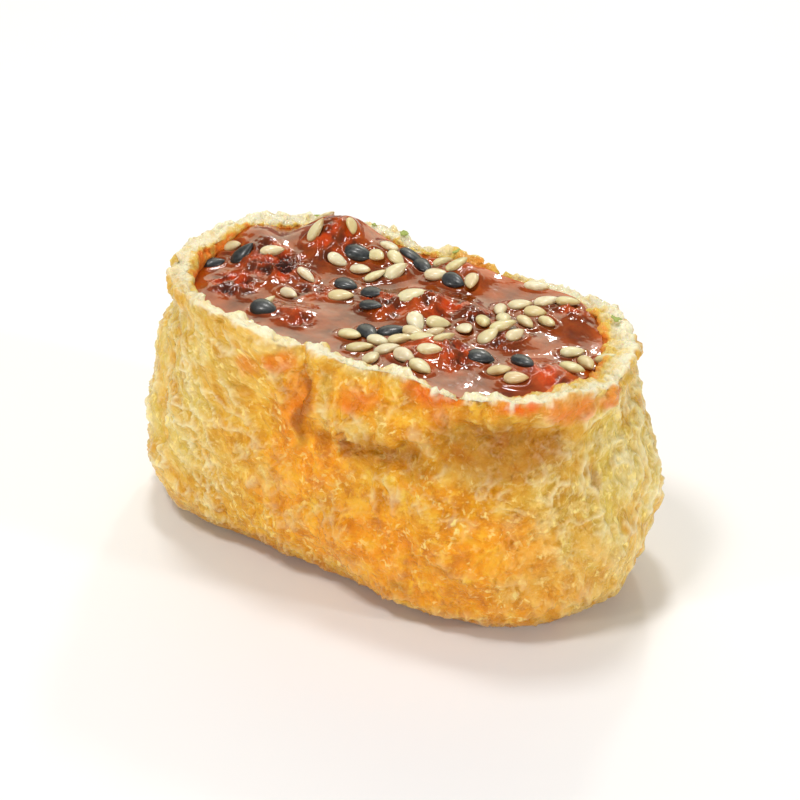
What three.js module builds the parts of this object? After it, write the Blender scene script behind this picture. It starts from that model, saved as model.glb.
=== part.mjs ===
// Inari sushi: an open, oblong pouch of fried tofu skin that stands on its folded
// base, filled to just below its lip with chopped fish in a glossy red sauce.
// Millimetres, +Z up. +X runs along the pouch, and the origin is the middle of the
// rectangle round the whole thing, on the surface it stands on.
import * as THREE from 'three';
import { LoftGeometry } from 'three/addons/geometries/LoftGeometry.js';
import { mergeVertices } from 'three/addons/utils/BufferGeometryUtils.js';

// ---- Driving dimensions ----

// Every level of the pouch is an oblong: a straight spine with the wall standing
// off it by a radius, so the two ends are round.
const BELLY_SPINE_HALF = 17.6; // half the spine's length at the widest level
const BELLY_RADIUS = 18.7; // wall from the spine at the widest level
const BELLY_HEIGHT = 9.1; // mean height of the widest level
const BELLY_TILT = 2.2; // how much the widest level climbs from the middle to the +X end
const BASE_INSET = 6.8; // how far the edge of the flat base lies inside the belly
const FLAT_BAND = 3; // height above the base by which the wall's relief is at its full depth

const LIP_SPINE_HALF = 15.1;
const LIP_RADIUS = 16.5;
const LIP_HEIGHT = 34.0; // mean height of the lip
const LIP_TILT = 1.0; // how much the lip drops from the middle to the +X end
const LIP_TWIST = THREE.MathUtils.degToRad(2.8); // the lip turned a little on the base
const LIP_SHIFT_X = 0.7; // the lip set over a little from the base
const LIP_SHIFT_Y = -0.35;
const LIP_ROUNDING = 1.1; // height of the rounded edge of the lip
const LIP_FLARE = 0.8; // how far the lip leans out at the +X end
const FLARE_START = 0.8; // share of the climb from belly to lip where that begins
const WAIST_DEPTH = 0.5; // the hollow that the +X end has just below the flare
const WAIST_AT = 0.76; // share of the climb where the hollow is deepest
const WAIST_REACH = 0.1;
const SHOULDER = 0.2; // share of the climb over which the -X end stays full

const WALL = 3.0; // thickness of the soaked tofu skin
const FLOOR = 2.6; // thickness of the pouch's folded base
const GAP = 0.3; // clearance all round the filling

const SAUCE_LEVEL = 32.1; // sauce height in the middle
const SAUCE_TILT = 0.05; // rise of the sauce for each millimetre toward the back
const SAUCE_EDGE_RISE = 0.5; // how far the sauce climbs where it meets the wall

// Counts that set how fine the faceted solids are.
const STRAIGHT_STEPS = 16;
const ROUND_STEPS = 24;
const WALL_LEVELS = 17;
const BASE_LEVELS = 4;
const LIP_LEVELS = 4;
const INNER_LEVELS = 7;
const TOP_RINGS = 8;

// Creases pressed into the wall. Each runs from one place to the next, a place
// being [distance round the belly from the middle of the front, height].
const BACK_MIDDLE = 2 * BELLY_SPINE_HALF + Math.PI * BELLY_RADIUS;
const CREASES = [
  { name: 'front fold', depth: 1.3, width: 1.5, path: [[-3.6, 34.5], [-2.0, 27.5], [-0.6, 22.5]] },
  { name: 'slanting pleat', depth: 0.9, width: 1.5, path: [[-0.6, 22.5], [6.0, 22.4], [14.5, 23.0]] },
  { name: 'climbing pleat', depth: 0.8, width: 1.8, path: [[14.5, 23.0], [24.5, 27.6], [35.0, 28.4]] },
  { name: 'left pleat', depth: 1.1, width: 2.2, path: [[-42.0, 28.6], [-31.0, 29.6], [-26.0, 31.0]] },
  { name: 'corner pleat', depth: 0.8, width: 2.0, path: [[-27.5, 29.5], [-28.5, 20.5], [-26.0, 13.0]] },
  { name: 'low dimple', depth: 0.8, width: 2.6, path: [[1.0, 4.6], [4.0, 4.2]] },
  { name: 'back fold', depth: 1.1, width: 1.8, path: [[88.0, 34.0], [90.0, 26.0], [87.0, 17.0]] },
  { name: 'back pleat', depth: 0.9, width: 2.0, path: [[90.0, 24.0], [104.0, 22.0], [113.0, 25.5]] },
];

// Slow waves of the lip: how high, how fast round the lip and where each starts.
const LIP_WAVES = [
  { height: 0.35, pitch: 0.21, start: 0.6 },
  { height: 0.25, pitch: 0.47, start: 2.0 },
];
const LIP_SLOPE = { spine: 0.55, ends: 0.6 }; // shares of the lip's tilt along and round the ends
const FRONT_DIP = { depth: 0.7, along: 2, reach: 9 }; // where the lip sags at the front

// Slow swells of the soft wall: how high, how many in half a turn, how far each leans
// for a millimetre of height, and where it starts.
const SWELLS = [
  { height: 0.35, waves: 3, lean: 0.09, start: 0 },
  { height: 0.3, waves: 5, lean: -0.16, start: 1.0 },
  { height: 0.25, waves: 11, lean: 0.28, start: 2.2 },
];

// Chopped fish under the sauce: rounded lumps at [x, y], each with its height above
// the sauce and its radius.
const LUMPS = [
  { at: [-15.6, 9.3], height: 3.9, radius: 4.6 },
  { at: [-21.6, 2.6], height: 2.0, radius: 4.4 },
  { at: [-9.5, -6.5], height: 0.8, radius: 4.0 },
  { at: [0.9, 2.6], height: 1.7, radius: 4.6 },
  { at: [3.0, 9.6], height: 1.2, radius: 3.4 },
  { at: [10.9, -6.4], height: 1.4, radius: 4.4 },
  { at: [23.2, -2.9], height: 1.4, radius: 3.6 },
];

// ---- Shared shape ----

const { lerp, clamp, smoothstep } = THREE.MathUtils;

// A bell curve: 1 at nothing, about a third at 1, next to nothing at 2.
function bell(away) {
  return Math.exp(-(away ** 2));
}

// Places round an oblong, counterclockwise from above, starting at the front of the
// -X end: where the place stands on the spine (-1 to 1), the direction of the wall
// from there, and the distance round the belly from the middle of the front.
function outlinePlaces() {
  const places = [];
  const quarter = BELLY_SPINE_HALF;
  const end = Math.PI * BELLY_RADIUS;
  for (let i = 0; i < STRAIGHT_STEPS; i++) {
    const part = i / STRAIGHT_STEPS;
    places.push({ spine: lerp(-1, 1, part), angle: -Math.PI / 2, along: lerp(-quarter, quarter, part) });
  }
  for (let i = 0; i < ROUND_STEPS; i++) {
    const part = i / ROUND_STEPS;
    places.push({ spine: 1, angle: Math.PI * (part - 0.5), along: quarter + end * part });
  }
  for (let i = 0; i < STRAIGHT_STEPS; i++) {
    const part = i / STRAIGHT_STEPS;
    places.push({ spine: lerp(1, -1, part), angle: Math.PI / 2, along: quarter + end + 2 * quarter * part });
  }
  for (let i = 0; i < ROUND_STEPS; i++) {
    const part = i / ROUND_STEPS;
    places.push({ spine: -1, angle: Math.PI * (part + 0.5), along: -quarter - end * (1 - part) });
  }
  return places;
}

// How squarely a place faces the +X end and the -X end, each from 0 to 1.
function facingRight(place) {
  return Math.max(0, Math.cos(place.angle)) * (place.spine > 0 ? 1 : 0);
}

function facingLeft(place) {
  return Math.max(0, -Math.cos(place.angle)) * (place.spine < 0 ? 1 : 0);
}

function lipHeight(place) {
  const tilt = place.spine * LIP_SLOPE.spine + Math.cos(place.angle) * LIP_SLOPE.ends;
  let height = LIP_HEIGHT - LIP_TILT * tilt;
  for (const wave of LIP_WAVES) {
    height += wave.height * Math.sin(place.along * wave.pitch + wave.start);
  }
  return height - FRONT_DIP.depth * bell((place.along - FRONT_DIP.along) / FRONT_DIP.reach);
}

function bellyHeight(place) {
  return BELLY_HEIGHT + BELLY_TILT * place.spine;
}

// Distance from a place on the wall to one stretch of a crease, in millimetres.
function distanceToStretch(along, height, from, to) {
  const run = [to[0] - from[0], to[1] - from[1]];
  const rest = [wrapRound(along - from[0]), height - from[1]];
  const part = clamp((rest[0] * run[0] + rest[1] * run[1]) / (run[0] ** 2 + run[1] ** 2), 0, 1);
  return Math.hypot(rest[0] - run[0] * part, rest[1] - run[1] * part);
}

// A distance round the wall brought back to within half a turn of zero.
function wrapRound(distance) {
  const turn = 2 * BACK_MIDDLE;
  return distance - turn * Math.round(distance / turn);
}

function creaseDepth(along, height) {
  let depth = 0;
  for (const crease of CREASES) {
    let nearest = Infinity;
    for (let i = 1; i < crease.path.length; i++) {
      nearest = Math.min(nearest, distanceToStretch(along, height, crease.path[i - 1], crease.path[i]));
    }
    depth = Math.max(depth, crease.depth * bell(nearest / crease.width));
  }
  return depth;
}

// The swells added up, so that no two stretches of the wall match.
function swell(along, height) {
  const turn = Math.PI * along / BACK_MIDDLE;
  let out = 0;
  for (const wave of SWELLS) {
    out += wave.height * Math.sin(wave.waves * turn + wave.lean * height + wave.start);
  }
  return out;
}

// The point of the wall at a height, `inset` millimetres inside its outer face. The
// outer face has the creases and swells, and they fade out toward the inner face.
function wallPoint(place, height, inset) {
  const belly = bellyHeight(place);
  const climb = clamp((height - belly) / (lipHeight(place) - belly), 0, 1);
  const shoulder = SHOULDER * facingLeft(place);
  const upper = smoothstep(climb, shoulder, 1);
  const spineHalf = lerp(BELLY_SPINE_HALF, LIP_SPINE_HALF, upper);
  let radius = lerp(BELLY_RADIUS, LIP_RADIUS, upper) - inset;
  if (height < belly) {
    radius -= BASE_INSET * (1 - Math.sqrt(1 - (1 - height / belly) ** 2));
  }
  radius += facingRight(place) * LIP_FLARE * smoothstep(climb, FLARE_START, 1);
  const waist = facingRight(place) * WAIST_DEPTH * bell((climb - WAIST_AT) / WAIST_REACH);
  const relief = smoothstep(height, 0, FLAT_BAND) * Math.max(0, 1 - inset / WALL);
  radius += relief * (swell(place.along, height) - creaseDepth(place.along, height) - waist);
  const x = place.spine * spineHalf + radius * Math.cos(place.angle);
  const y = radius * Math.sin(place.angle);
  return twisted(x, y, height, upper);
}

// A point turned and set over as the lip is, by the part `upper` of the whole.
function twisted(x, y, z, upper) {
  const turn = LIP_TWIST * upper;
  return new THREE.Vector3(
    x * Math.cos(turn) - y * Math.sin(turn) + LIP_SHIFT_X * upper,
    x * Math.sin(turn) + y * Math.cos(turn) + LIP_SHIFT_Y * upper,
    z,
  );
}

// The point where an oblong shrinks to nothing: straight above or below its spine.
function spinePoint(place, height, spineHalf, upper) {
  return twisted(place.spine * spineHalf, 0, height, upper);
}

// A closed solid skinned over rings that begin and end as a line on the spine. The
// doubled points are merged, and triangles left without area are dropped.
function closedSkin(rings) {
  const loft = new LoftGeometry(rings);
  const skin = new THREE.BufferGeometry();
  skin.setAttribute('position', loft.getAttribute('position'));
  skin.setIndex(loft.getIndex());
  const merged = mergeVertices(skin, 1e-3);
  const corners = merged.index.array;
  const kept = [];
  for (let i = 0; i < corners.length; i += 3) {
    const [a, b, c] = corners.slice(i, i + 3);
    if (a !== b && b !== c && c !== a) kept.push(a, b, c);
  }
  merged.setIndex(kept);
  merged.computeVertexNormals();
  return merged;
}

// ---- The two pieces ----

const PLACES = outlinePlaces();

function ringOf(point) {
  return PLACES.map(point);
}

// Share of the height of the i-th level inside the pouch: closest together low down,
// where the wall curves in to the floor.
function sideLevel(i) {
  return (i / INNER_LEVELS) ** 1.6;
}

// Fried tofu pouch: base, outer wall, rounded lip, inner wall and floor in one skin.
function pouchGeometry() {
  const rings = [ringOf((place) => spinePoint(place, 0, BELLY_SPINE_HALF, 0))];
  for (let i = 0; i < BASE_LEVELS; i++) {
    const part = 1 - Math.cos((Math.PI / 2) * (i / BASE_LEVELS));
    rings.push(ringOf((place) => wallPoint(place, part * bellyHeight(place), 0)));
  }
  for (let i = 0; i < WALL_LEVELS; i++) {
    const part = i / WALL_LEVELS;
    rings.push(ringOf((place) => {
      const top = lipHeight(place) - LIP_ROUNDING;
      return wallPoint(place, lerp(bellyHeight(place), top, part), 0);
    }));
  }
  for (let i = 0; i <= LIP_LEVELS; i++) {
    const turn = Math.PI * (i / LIP_LEVELS);
    const inset = WALL * (1 - Math.cos(turn)) / 2;
    rings.push(ringOf((place) => {
      const height = lipHeight(place) - LIP_ROUNDING * (1 - Math.sin(turn));
      return wallPoint(place, height, inset);
    }));
  }
  for (let i = 1; i <= INNER_LEVELS; i++) {
    rings.push(ringOf((place) => {
      const top = lipHeight(place) - LIP_ROUNDING;
      return wallPoint(place, lerp(FLOOR, top, sideLevel(INNER_LEVELS - i)), WALL);
    }));
  }
  rings.push(ringOf((place) => spinePoint(place, FLOOR, BELLY_SPINE_HALF, 0)));
  return closedSkin(rings);
}

// Height of the filling at a point of its top: level sauce with the lumps on it.
function fillingHeight(x, y) {
  let height = SAUCE_LEVEL + SAUCE_TILT * y;
  for (const lump of LUMPS) {
    const away = Math.hypot(x - lump.at[0], y - lump.at[1]) / lump.radius;
    height += lump.height * bell(away);
  }
  return height;
}

// Filling: one body from the pouch's floor to its uneven, sauced top.
function fillingGeometry() {
  const bottom = FLOOR + GAP;
  const inset = WALL + GAP;
  const rings = [ringOf((place) => spinePoint(place, bottom, BELLY_SPINE_HALF, 0))];
  const edges = PLACES.map((place) => wallPoint(place, SAUCE_LEVEL, inset));
  const tops = edges.map((edge) => fillingHeight(edge.x, edge.y) + SAUCE_EDGE_RISE);
  for (let i = 0; i < INNER_LEVELS; i++) {
    const part = sideLevel(i);
    rings.push(PLACES.map((place, n) => wallPoint(place, lerp(bottom, tops[n], part), inset)));
  }
  for (let i = 0; i < TOP_RINGS; i++) {
    const part = i / TOP_RINGS;
    const rise = SAUCE_EDGE_RISE * (1 - part) ** 4;
    rings.push(PLACES.map((place, n) => {
      const middle = spinePoint(place, SAUCE_LEVEL, LIP_SPINE_HALF, 1);
      const x = lerp(edges[n].x, middle.x, part);
      const y = lerp(edges[n].y, middle.y, part);
      return new THREE.Vector3(x, y, fillingHeight(x, y) + rise);
    }));
  }
  rings.push(ringOf((place) => {
    const middle = spinePoint(place, SAUCE_LEVEL, LIP_SPINE_HALF, 1);
    middle.z = fillingHeight(middle.x, middle.y);
    return middle;
  }));
  return closedSkin(rings);
}

function piece(name, geometry, colour, roughness) {
  const material = new THREE.MeshStandardMaterial({ color: colour, roughness, metalness: 0 });
  const mesh = new THREE.Mesh(geometry, material);
  mesh.name = name;
  return mesh;
}

const group = new THREE.Group();
group.add(piece('tofu_pouch', pouchGeometry(), 0xe3b04c, 0.5));
group.add(piece('filling', fillingGeometry(), 0x9c3a22, 0.2));

// The twist and the swells move the middle of the whole by a hair, so it is set back.
const middle = new THREE.Box3().setFromObject(group).getCenter(new THREE.Vector3());
group.position.set(-middle.x, -middle.y, 0);

export default group;
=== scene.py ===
"""Inari sushi: an open pouch of fried tofu skin, filled with chopped fish in a glossy
red sauce and sprinkled with sesame seeds, finished round its packed solids.

The shape formulas work in millimetres and the meshes are in metres. X runs along the
pouch, +Y is its back and Z is up.
"""

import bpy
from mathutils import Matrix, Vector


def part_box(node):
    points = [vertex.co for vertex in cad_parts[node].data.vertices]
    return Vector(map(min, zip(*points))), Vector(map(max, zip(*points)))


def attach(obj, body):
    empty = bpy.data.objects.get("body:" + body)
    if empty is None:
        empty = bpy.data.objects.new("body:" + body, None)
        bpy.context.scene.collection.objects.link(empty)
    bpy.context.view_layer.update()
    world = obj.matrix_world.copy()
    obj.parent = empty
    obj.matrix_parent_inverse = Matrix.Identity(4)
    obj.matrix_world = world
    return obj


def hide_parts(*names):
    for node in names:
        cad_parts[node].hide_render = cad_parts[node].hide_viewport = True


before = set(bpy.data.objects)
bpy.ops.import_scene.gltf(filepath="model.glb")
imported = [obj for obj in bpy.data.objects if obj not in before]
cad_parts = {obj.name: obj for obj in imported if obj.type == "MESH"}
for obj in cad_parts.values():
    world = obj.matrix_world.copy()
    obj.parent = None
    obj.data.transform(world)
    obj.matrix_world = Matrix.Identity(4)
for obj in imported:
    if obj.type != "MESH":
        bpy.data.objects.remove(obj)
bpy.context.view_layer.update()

from types import SimpleNamespace

import bmesh
import bpy
import numpy as np
from bpy.props import FloatProperty, FloatVectorProperty, IntProperty, PointerProperty
from mathutils import Vector

bl_info = {
    "name": "Inari sushi",
    "version": (1, 0, 0),
    "blender": (4, 5, 0),
    "location": "3D View > Sidebar > Inari",
    "description": "Builds a sauced and seeded tofu pouch round its packed solids",
    "category": "Add Mesh",
}

MM = 0.001
POUCH_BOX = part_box("tofu_pouch")


def linear(code):
    """Linear red, green and blue of an sRGB hex code."""
    channels = np.array([int(code[i : i + 2], 16) for i in (1, 3, 5)]) / 255
    return tuple(np.where(channels <= 0.04045, channels / 12.92, ((channels + 0.055) / 1.055) ** 2.4))


def length(name, millimetres, description):
    """A length property, given in millimetres and kept in metres."""
    return FloatProperty(name=name, description=description, default=millimetres * MM, unit="LENGTH")


def colour(name, code, description):
    """A colour property from an sRGB hex code."""
    return FloatVectorProperty(
        name=name, description=description, default=linear(code), size=3, min=0, max=1, subtype="COLOR"
    )


# ---------------------------------------------------------------- sizes and colours


class PouchSettings(bpy.types.PropertyGroup):
    """The fried tofu pouch: oblong levels, each a straight spine with the wall a radius off it."""

    belly_spine_half: length("Belly spine half", 17.6, "Half the spine's length at the widest level")
    belly_radius: length("Belly radius", 18.7, "Wall from the spine at the widest level")
    belly_height: length("Belly height", 9.1, "Mean height of the widest level")
    belly_tilt: length("Belly tilt", 2.2, "Climb of the widest level from the middle to the +X end")
    base_inset: length("Base inset", 6.8, "How far the edge of the flat base lies inside the belly")
    flat_band: length("Flat band", 3.0, "Height by which the relief has its full depth")
    lip_spine_half: length("Lip spine half", 15.1, "Half the spine's length at the lip")
    lip_radius: length("Lip radius", 16.5, "Wall from the spine at the lip")
    lip_height: length("Lip height", 34.0, "Mean height of the lip")
    lip_tilt: length("Lip tilt", 1.0, "Drop of the lip from the middle to the +X end")
    lip_shift_x: length("Lip shift along", 0.7, "How far the lip is set over along the pouch")
    lip_shift_y: length("Lip shift across", -0.35, "How far the lip is set over across the pouch")
    lip_rounding: length("Lip rounding", 1.1, "Height of the rounded cut edge")
    lip_flare: length("Lip flare", 0.8, "How far the lip leans out at the +X end")
    waist_depth: length("Waist depth", 0.5, "Hollow below the flare at the +X end")
    wall: length("Wall", 2.5, "Thickness of the soaked skin at the front")
    back_wall: length("Extra wall at the back", 0.8, "How much thicker the skin is at the back")
    end_wall: length("Extra wall at the +X end", 2.7, "How much thicker the skin is at the +X end")
    floor: length("Floor", 2.6, "Thickness of the folded base")
    lip_twist: FloatProperty(
        name="Lip twist", description="The lip turned on the base", default=np.radians(2.8), subtype="ANGLE"
    )
    crumple: length("Crumple", 0.5, "Height of the soft dents and bulges")
    wrinkle: length("Wrinkle", 0.55, "Height of the fine curled wrinkles")
    gold: colour("Gold skin", "#df9c14", "Plain fried skin")
    # The deep tones are partly painted shade in the hollows, which the bump also sinks, and partly darker
    # skin; the light tones are partly painted light on the raised parts, and partly paler membrane.
    gold_deep: colour("Gold skin, deep", "#bd6c00", "Hollows of the plain skin")
    gold_light: colour("Gold skin, light", "#efc244", "Raised membrane of the plain skin")
    amber: colour("Amber skin", "#ef9402", "Skin soaked through with broth")
    amber_deep: colour("Amber skin, deep", "#b65c00", "Hollows of the soaked skin")
    amber_light: colour("Amber skin, light", "#f8b426", "Raised membrane of the soaked skin")
    pale: colour("Pale skin", "#d9bb56", "Dry pale skin at the two ends")
    pale_deep: colour("Pale skin, deep", "#c4921c", "Hollows of the pale skin")
    pale_light: colour("Pale skin, light", "#ead79c", "Raised membrane of the pale skin")
    # Membrane also paints highlight along the wrinkle crests, besides the dry strands.
    membrane: colour("Membrane", "#f3e6b4", "Thin dry strands that lie on the skin")
    # Blisters: a painted glint colour, pale specks that stand in for highlights on the wet skin.
    painted_glint: colour("Blisters", "#ffe890", "Tiny fat blisters that stand up and look brighter")
    stain: colour("Sauce stain", "#e86400", "Red oil soaked into the skin below the lip")
    # Olive skin: greenish skin, and in part painted shade under the fold that hangs over the front.
    olive: colour("Olive skin", "#a88420", "Darker, greenish skin in the hollows")
    # Brown skin is the colour of painted shade in the creases, low down by the base and under the fold, and
    # of the browner patches.
    brown: colour("Brown skin", "#9e5400", "Deep creases and the fried base edge")
    crumb: colour("Cut edge", "#f6efcf", "Spongy pale crumb of the cut edge")
    crumb_deep: colour("Cut edge, deep", "#e6c25a", "Yellow pores of the cut edge")


class FillingSettings(bpy.types.PropertyGroup):
    """Chopped fish in sauce, up to just below the lip."""

    sauce_level: length("Sauce level", 32.1, "Height of the sauce in the middle")
    edge_rise: length("Edge rise", 0.5, "How far the sauce climbs where it meets the wall")
    end_drop: length("End drop", 1.2, "How much lower the sauce lies at the +X end")
    into_wall: length("Into the wall", 0.5, "How far the filling reaches into the pouch's wall")
    mince: length("Mince", 0.62, "Depth of the pits between the chopped pieces")
    meniscus: length("Meniscus", 0.22, "Height of the sauce drawn up round each seed")
    tilt: FloatProperty(name="Sauce tilt", description="Rise toward the back", default=0.05, subtype="FACTOR")
    sauce: colour("Sauce", "#702c04", "Deep red of the thick sauce")
    sauce_thin: colour("Thin sauce", "#c85808", "Orange red of thin sauce and chilli oil")
    # Deep sauce is painted shade in the pits; glowing sauce is a painted glow, as of light coming through the
    # clear sauce.
    sauce_deep: colour("Deep sauce", "#341004", "Nearly black red of the pits")
    sauce_glow: colour("Glowing sauce", "#d84606", "Clear red where light comes through")
    fish: colour("Fish", "#cc5c2c", "Pink red of bare fish")


class ToppingSettings(bpy.types.PropertyGroup):
    """Sesame seeds and green flakes."""

    seed_length: length("Seed length", 3.3, "Length of a sesame seed")
    seed_width: length("Seed width", 2.0, "Width of a sesame seed")
    seed_thickness: length("Seed thickness", 1.15, "Thickness of a sesame seed")
    black_size: FloatProperty(name="Black seed size", description="Against a white one", default=1.18)
    flake_size: length("Flake size", 1.1, "Size of a green flake")
    seed_shuffle: IntProperty(name="Shuffle", description="Starting number of the scatter", default=7)
    white: colour("White sesame", "#d9d09a", "Hulled, toasted seed")
    white_light: colour("White sesame, light", "#ece6cc", "The palest hulled seed")
    white_toasted: colour("White sesame, toasted", "#c79a55", "The brownest hulled seed")
    # The tip colour also paints shade round the white seeds' edge.
    white_tip: colour("Seed tip", "#b08a48", "Toasted brown of the pointed tip")
    black: colour("Black sesame", "#24272a", "Unhulled black seed")
    black_light: colour("Black sesame, light", "#3a4044", "Grey rims round its pits")
    black_deep: colour("Black sesame, deep", "#1d201c", "The darkest seed")
    green: colour("Green flake", "#8a9a34", "Dried seaweed")
    green_light: colour("Green flake, light", "#a9b668", "Its paler mottling")


class StageSettings(bpy.types.PropertyGroup):
    """Floor, lights and camera."""

    camera_x: length("Camera X", 132.3, "Camera's place along the pouch")
    camera_y: length("Camera Y", -182.0, "Camera's place across the pouch")
    camera_z: length("Camera Z", 145.6, "Camera's height")
    aim_x: length("Aim X", 1.05, "Point the camera looks at, along the pouch")
    aim_y: length("Aim Y", 0.8, "Point the camera looks at, across the pouch")
    aim_z: length("Aim Z", 18.85, "Height of the point the camera looks at")
    lens: FloatProperty(name="Lens", description="Focal length in millimetres", default=90)
    floor_colour: colour("Floor", "#f1f1f3", "Pale, plain floor")
    room_light: FloatProperty(name="Room light", description="Strength of the light all round", default=0.25)


SETTINGS = {
    "inari_pouch": PouchSettings,
    "inari_filling": FillingSettings,
    "inari_topping": ToppingSettings,
    "inari_stage": StageSettings,
}


def in_millimetres(group):
    """The group's values as a plain record, with its lengths in millimetres."""
    values = {}
    for prop in group.bl_rna.properties:
        if prop.type not in {"FLOAT", "INT"}:
            continue
        value = getattr(group, prop.identifier)
        values[prop.identifier] = value / MM if prop.unit == "LENGTH" else value
    return SimpleNamespace(**values)


# ---------------------------------------------------------------- noise on whole arrays


def bell(away):
    """Bell curve: 1 at nothing, about a third at 1, next to nothing at 2."""
    return np.exp(-(away**2))


def ramp(value, low, high):
    """0 up to low and 1 from high, on a smooth S between them."""
    part = np.clip((value - low) / (high - low), 0, 1)
    return part * part * (3 - 2 * part)


def mix(a, b, part):
    """A straight mix from a to b."""
    return a * (1 - part) + b * part


def spin(x, y, angle):
    """Two lengths or directions turned by an angle, the first towards the second."""
    cosine, sine = np.cos(angle), np.sin(angle)
    return x * cosine - y * sine, x * sine + y * cosine


def angles_round(count):
    """Equal steps once round, in radians."""
    return np.arange(count) / count * 2 * np.pi


def corner_numbers(cell, seed):
    """A scrambled number from 0 to 255 for each whole-number corner of space."""
    table = np.random.default_rng(seed).permutation(256)
    scrambled = table[cell[..., 0] & 255]
    scrambled = table[(scrambled + cell[..., 1]) & 255]
    return table[(scrambled + cell[..., 2]) & 255]


def noise(points, seed):
    """Gradient noise, about -1 to 1: each corner of a unit grid has its own slope, and
    the slopes of the eight corners round a point are blended on a fifth-power S."""
    slopes = np.random.default_rng(seed + 100).normal(size=(256, 3))
    slopes /= np.linalg.norm(slopes, axis=1, keepdims=True)
    cell = np.floor(points).astype(int)
    local = points - cell
    ease = local**3 * (local * (local * 6 - 15) + 10)
    total = np.zeros(points.shape[:-1])
    for corner in np.ndindex(2, 2, 2):
        slope = slopes[corner_numbers(cell + corner, seed)]
        weight = np.prod(np.where(corner, ease, 1 - ease), axis=-1)
        total += weight * np.sum(slope * (local - corner), axis=-1)
    return total * 1.7


def layered(points, layers, seed):
    """Noise of halving size and height, summed."""
    return sum(noise(points * 2**i, seed + i) / 2**i for i in range(layers))


def curled(points, reach, seed):
    """The points pushed about by up to `reach` along three noises, so patterns curl."""
    return points + reach * np.stack([noise(points * 0.7, seed + i) for i in range(3)], axis=-1)


def ridges(points, sharpness, seed):
    """Narrow crests where noise crosses nothing, 0 to 1."""
    return np.clip(1 - np.abs(noise(points, seed)) * sharpness, 0, 1) ** 2


def cells(points, seed):
    """Distances from each point to the nearest and second-nearest of points dropped
    one to a unit cell, looked for in the 27 cells round it."""
    drops = np.random.default_rng(seed + 200).random((256, 3))
    home = np.floor(points).astype(int)
    nearest = np.full(points.shape[:-1], 9.0)
    second = nearest.copy()
    for step in np.ndindex(3, 3, 3):
        cell = home + np.array(step) - 1
        drop = cell + drops[corner_numbers(cell, seed)]
        away = np.linalg.norm(points - drop, axis=-1)
        second = np.minimum(second, np.maximum(nearest, away))
        nearest = np.minimum(nearest, away)
    return nearest, second


# ---------------------------------------------------------------- the pouch's shape

# Creases pressed into the wall: depth, width, and places [distance round the belly
# from the middle of the front, height], in millimetres.
CREASES = (
    (0.9, 1.4, ((-3.6, 34.5), (-2.0, 27.5), (-0.6, 22.5))),
    (0.9, 1.5, ((-0.6, 22.5), (6.0, 22.4), (14.5, 23.0))),
    (0.8, 1.8, ((14.5, 23.0), (24.5, 27.6), (35.0, 28.4))),
    (1.1, 2.2, ((-42.0, 28.6), (-31.0, 29.6), (-26.0, 31.0))),
    (0.8, 2.0, ((-27.5, 29.5), (-28.5, 20.5), (-26.0, 13.0))),
    (0.8, 2.6, ((1.0, 4.6), (4.0, 4.2))),
    (1.1, 1.8, ((88.0, 34.0), (90.0, 26.0), (87.0, 17.0))),
    (0.9, 2.0, ((90.0, 24.0), (104.0, 22.0), (113.0, 25.5))),
)

# Waves of the lip: height in millimetres, radians a millimetre round the pouch, start.
LIP_WAVES = ((0.35, 0.21, 0.6), (0.25, 0.47, 2.0))
# The lip's dip at the front: middle and reach round the wall, and depth.
LIP_DIP = (2, 9, 0.7)
# Swells of the wall: height in millimetres, half waves from front to back, lean in radians
# a millimetre of height, start.
SWELLS = ((0.35, 3, 0.09, 0.0), (0.3, 5, -0.16, 1.0), (0.25, 11, 0.28, 2.2))
# Parts of the climb from the belly to the lip, 0 to 1: where the flare starts, and the
# waist's middle and reach.
FLARE_FROM, WAIST_AT, WAIST_REACH = 0.8, 0.76, 0.1
# How far inside the outer face its swells and creases fade out.
RELIEF_FADE = 3.0


def back_middle(p):
    """Distance round the belly from the middle of the front to the middle of the back."""
    return 2 * p.belly_spine_half + np.pi * p.belly_radius


def wrapped(p, distance):
    """A distance round the wall brought back to within half a turn of zero."""
    turn = 2 * back_middle(p)
    return distance - turn * np.round(distance / turn)


def outline(p, straight_steps, round_steps):
    """Places round the oblong, counterclockwise from above: the place on the spine, -1
    to 1, the wall's direction from it, and the distance from the front's middle."""
    half, end = p.belly_spine_half, np.pi * p.belly_radius
    line = np.arange(straight_steps) / straight_steps
    bend = np.arange(round_steps) / round_steps
    spine = np.concatenate([2 * line - 1, np.ones(round_steps), 1 - 2 * line, -np.ones(round_steps)])
    flat = np.full(straight_steps, np.pi / 2)
    angle = np.concatenate([-flat, np.pi * (bend - 0.5), flat, np.pi * (bend + 0.5)])
    along = np.concatenate(
        [half * (2 * line - 1), half + end * bend, half + end + 2 * half * line, -half - end * (1 - bend)]
    )
    return SimpleNamespace(spine=spine, angle=angle, along=along)


def facing(place, side):
    """How squarely a place faces the +X end (side 1) or the -X end (side -1), 0 to 1."""
    return np.maximum(0, side * np.cos(place.angle)) * (side * place.spine > 0)


def lip_height(p, place):
    """Height of the lip: a drop along the pouch, two slow waves, a dip at the front."""
    slope = -p.lip_tilt * (place.spine * 0.55 + np.cos(place.angle) * 0.6)
    waves = sum(size * np.sin(place.along * pace + start) for size, pace, start in LIP_WAVES)
    middle, reach, depth = LIP_DIP
    return p.lip_height + slope + waves - depth * bell((place.along - middle) / reach)


def belly_height(p, place):
    """Height of the widest level, which climbs along the pouch."""
    return p.belly_height + p.belly_tilt * place.spine


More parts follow.
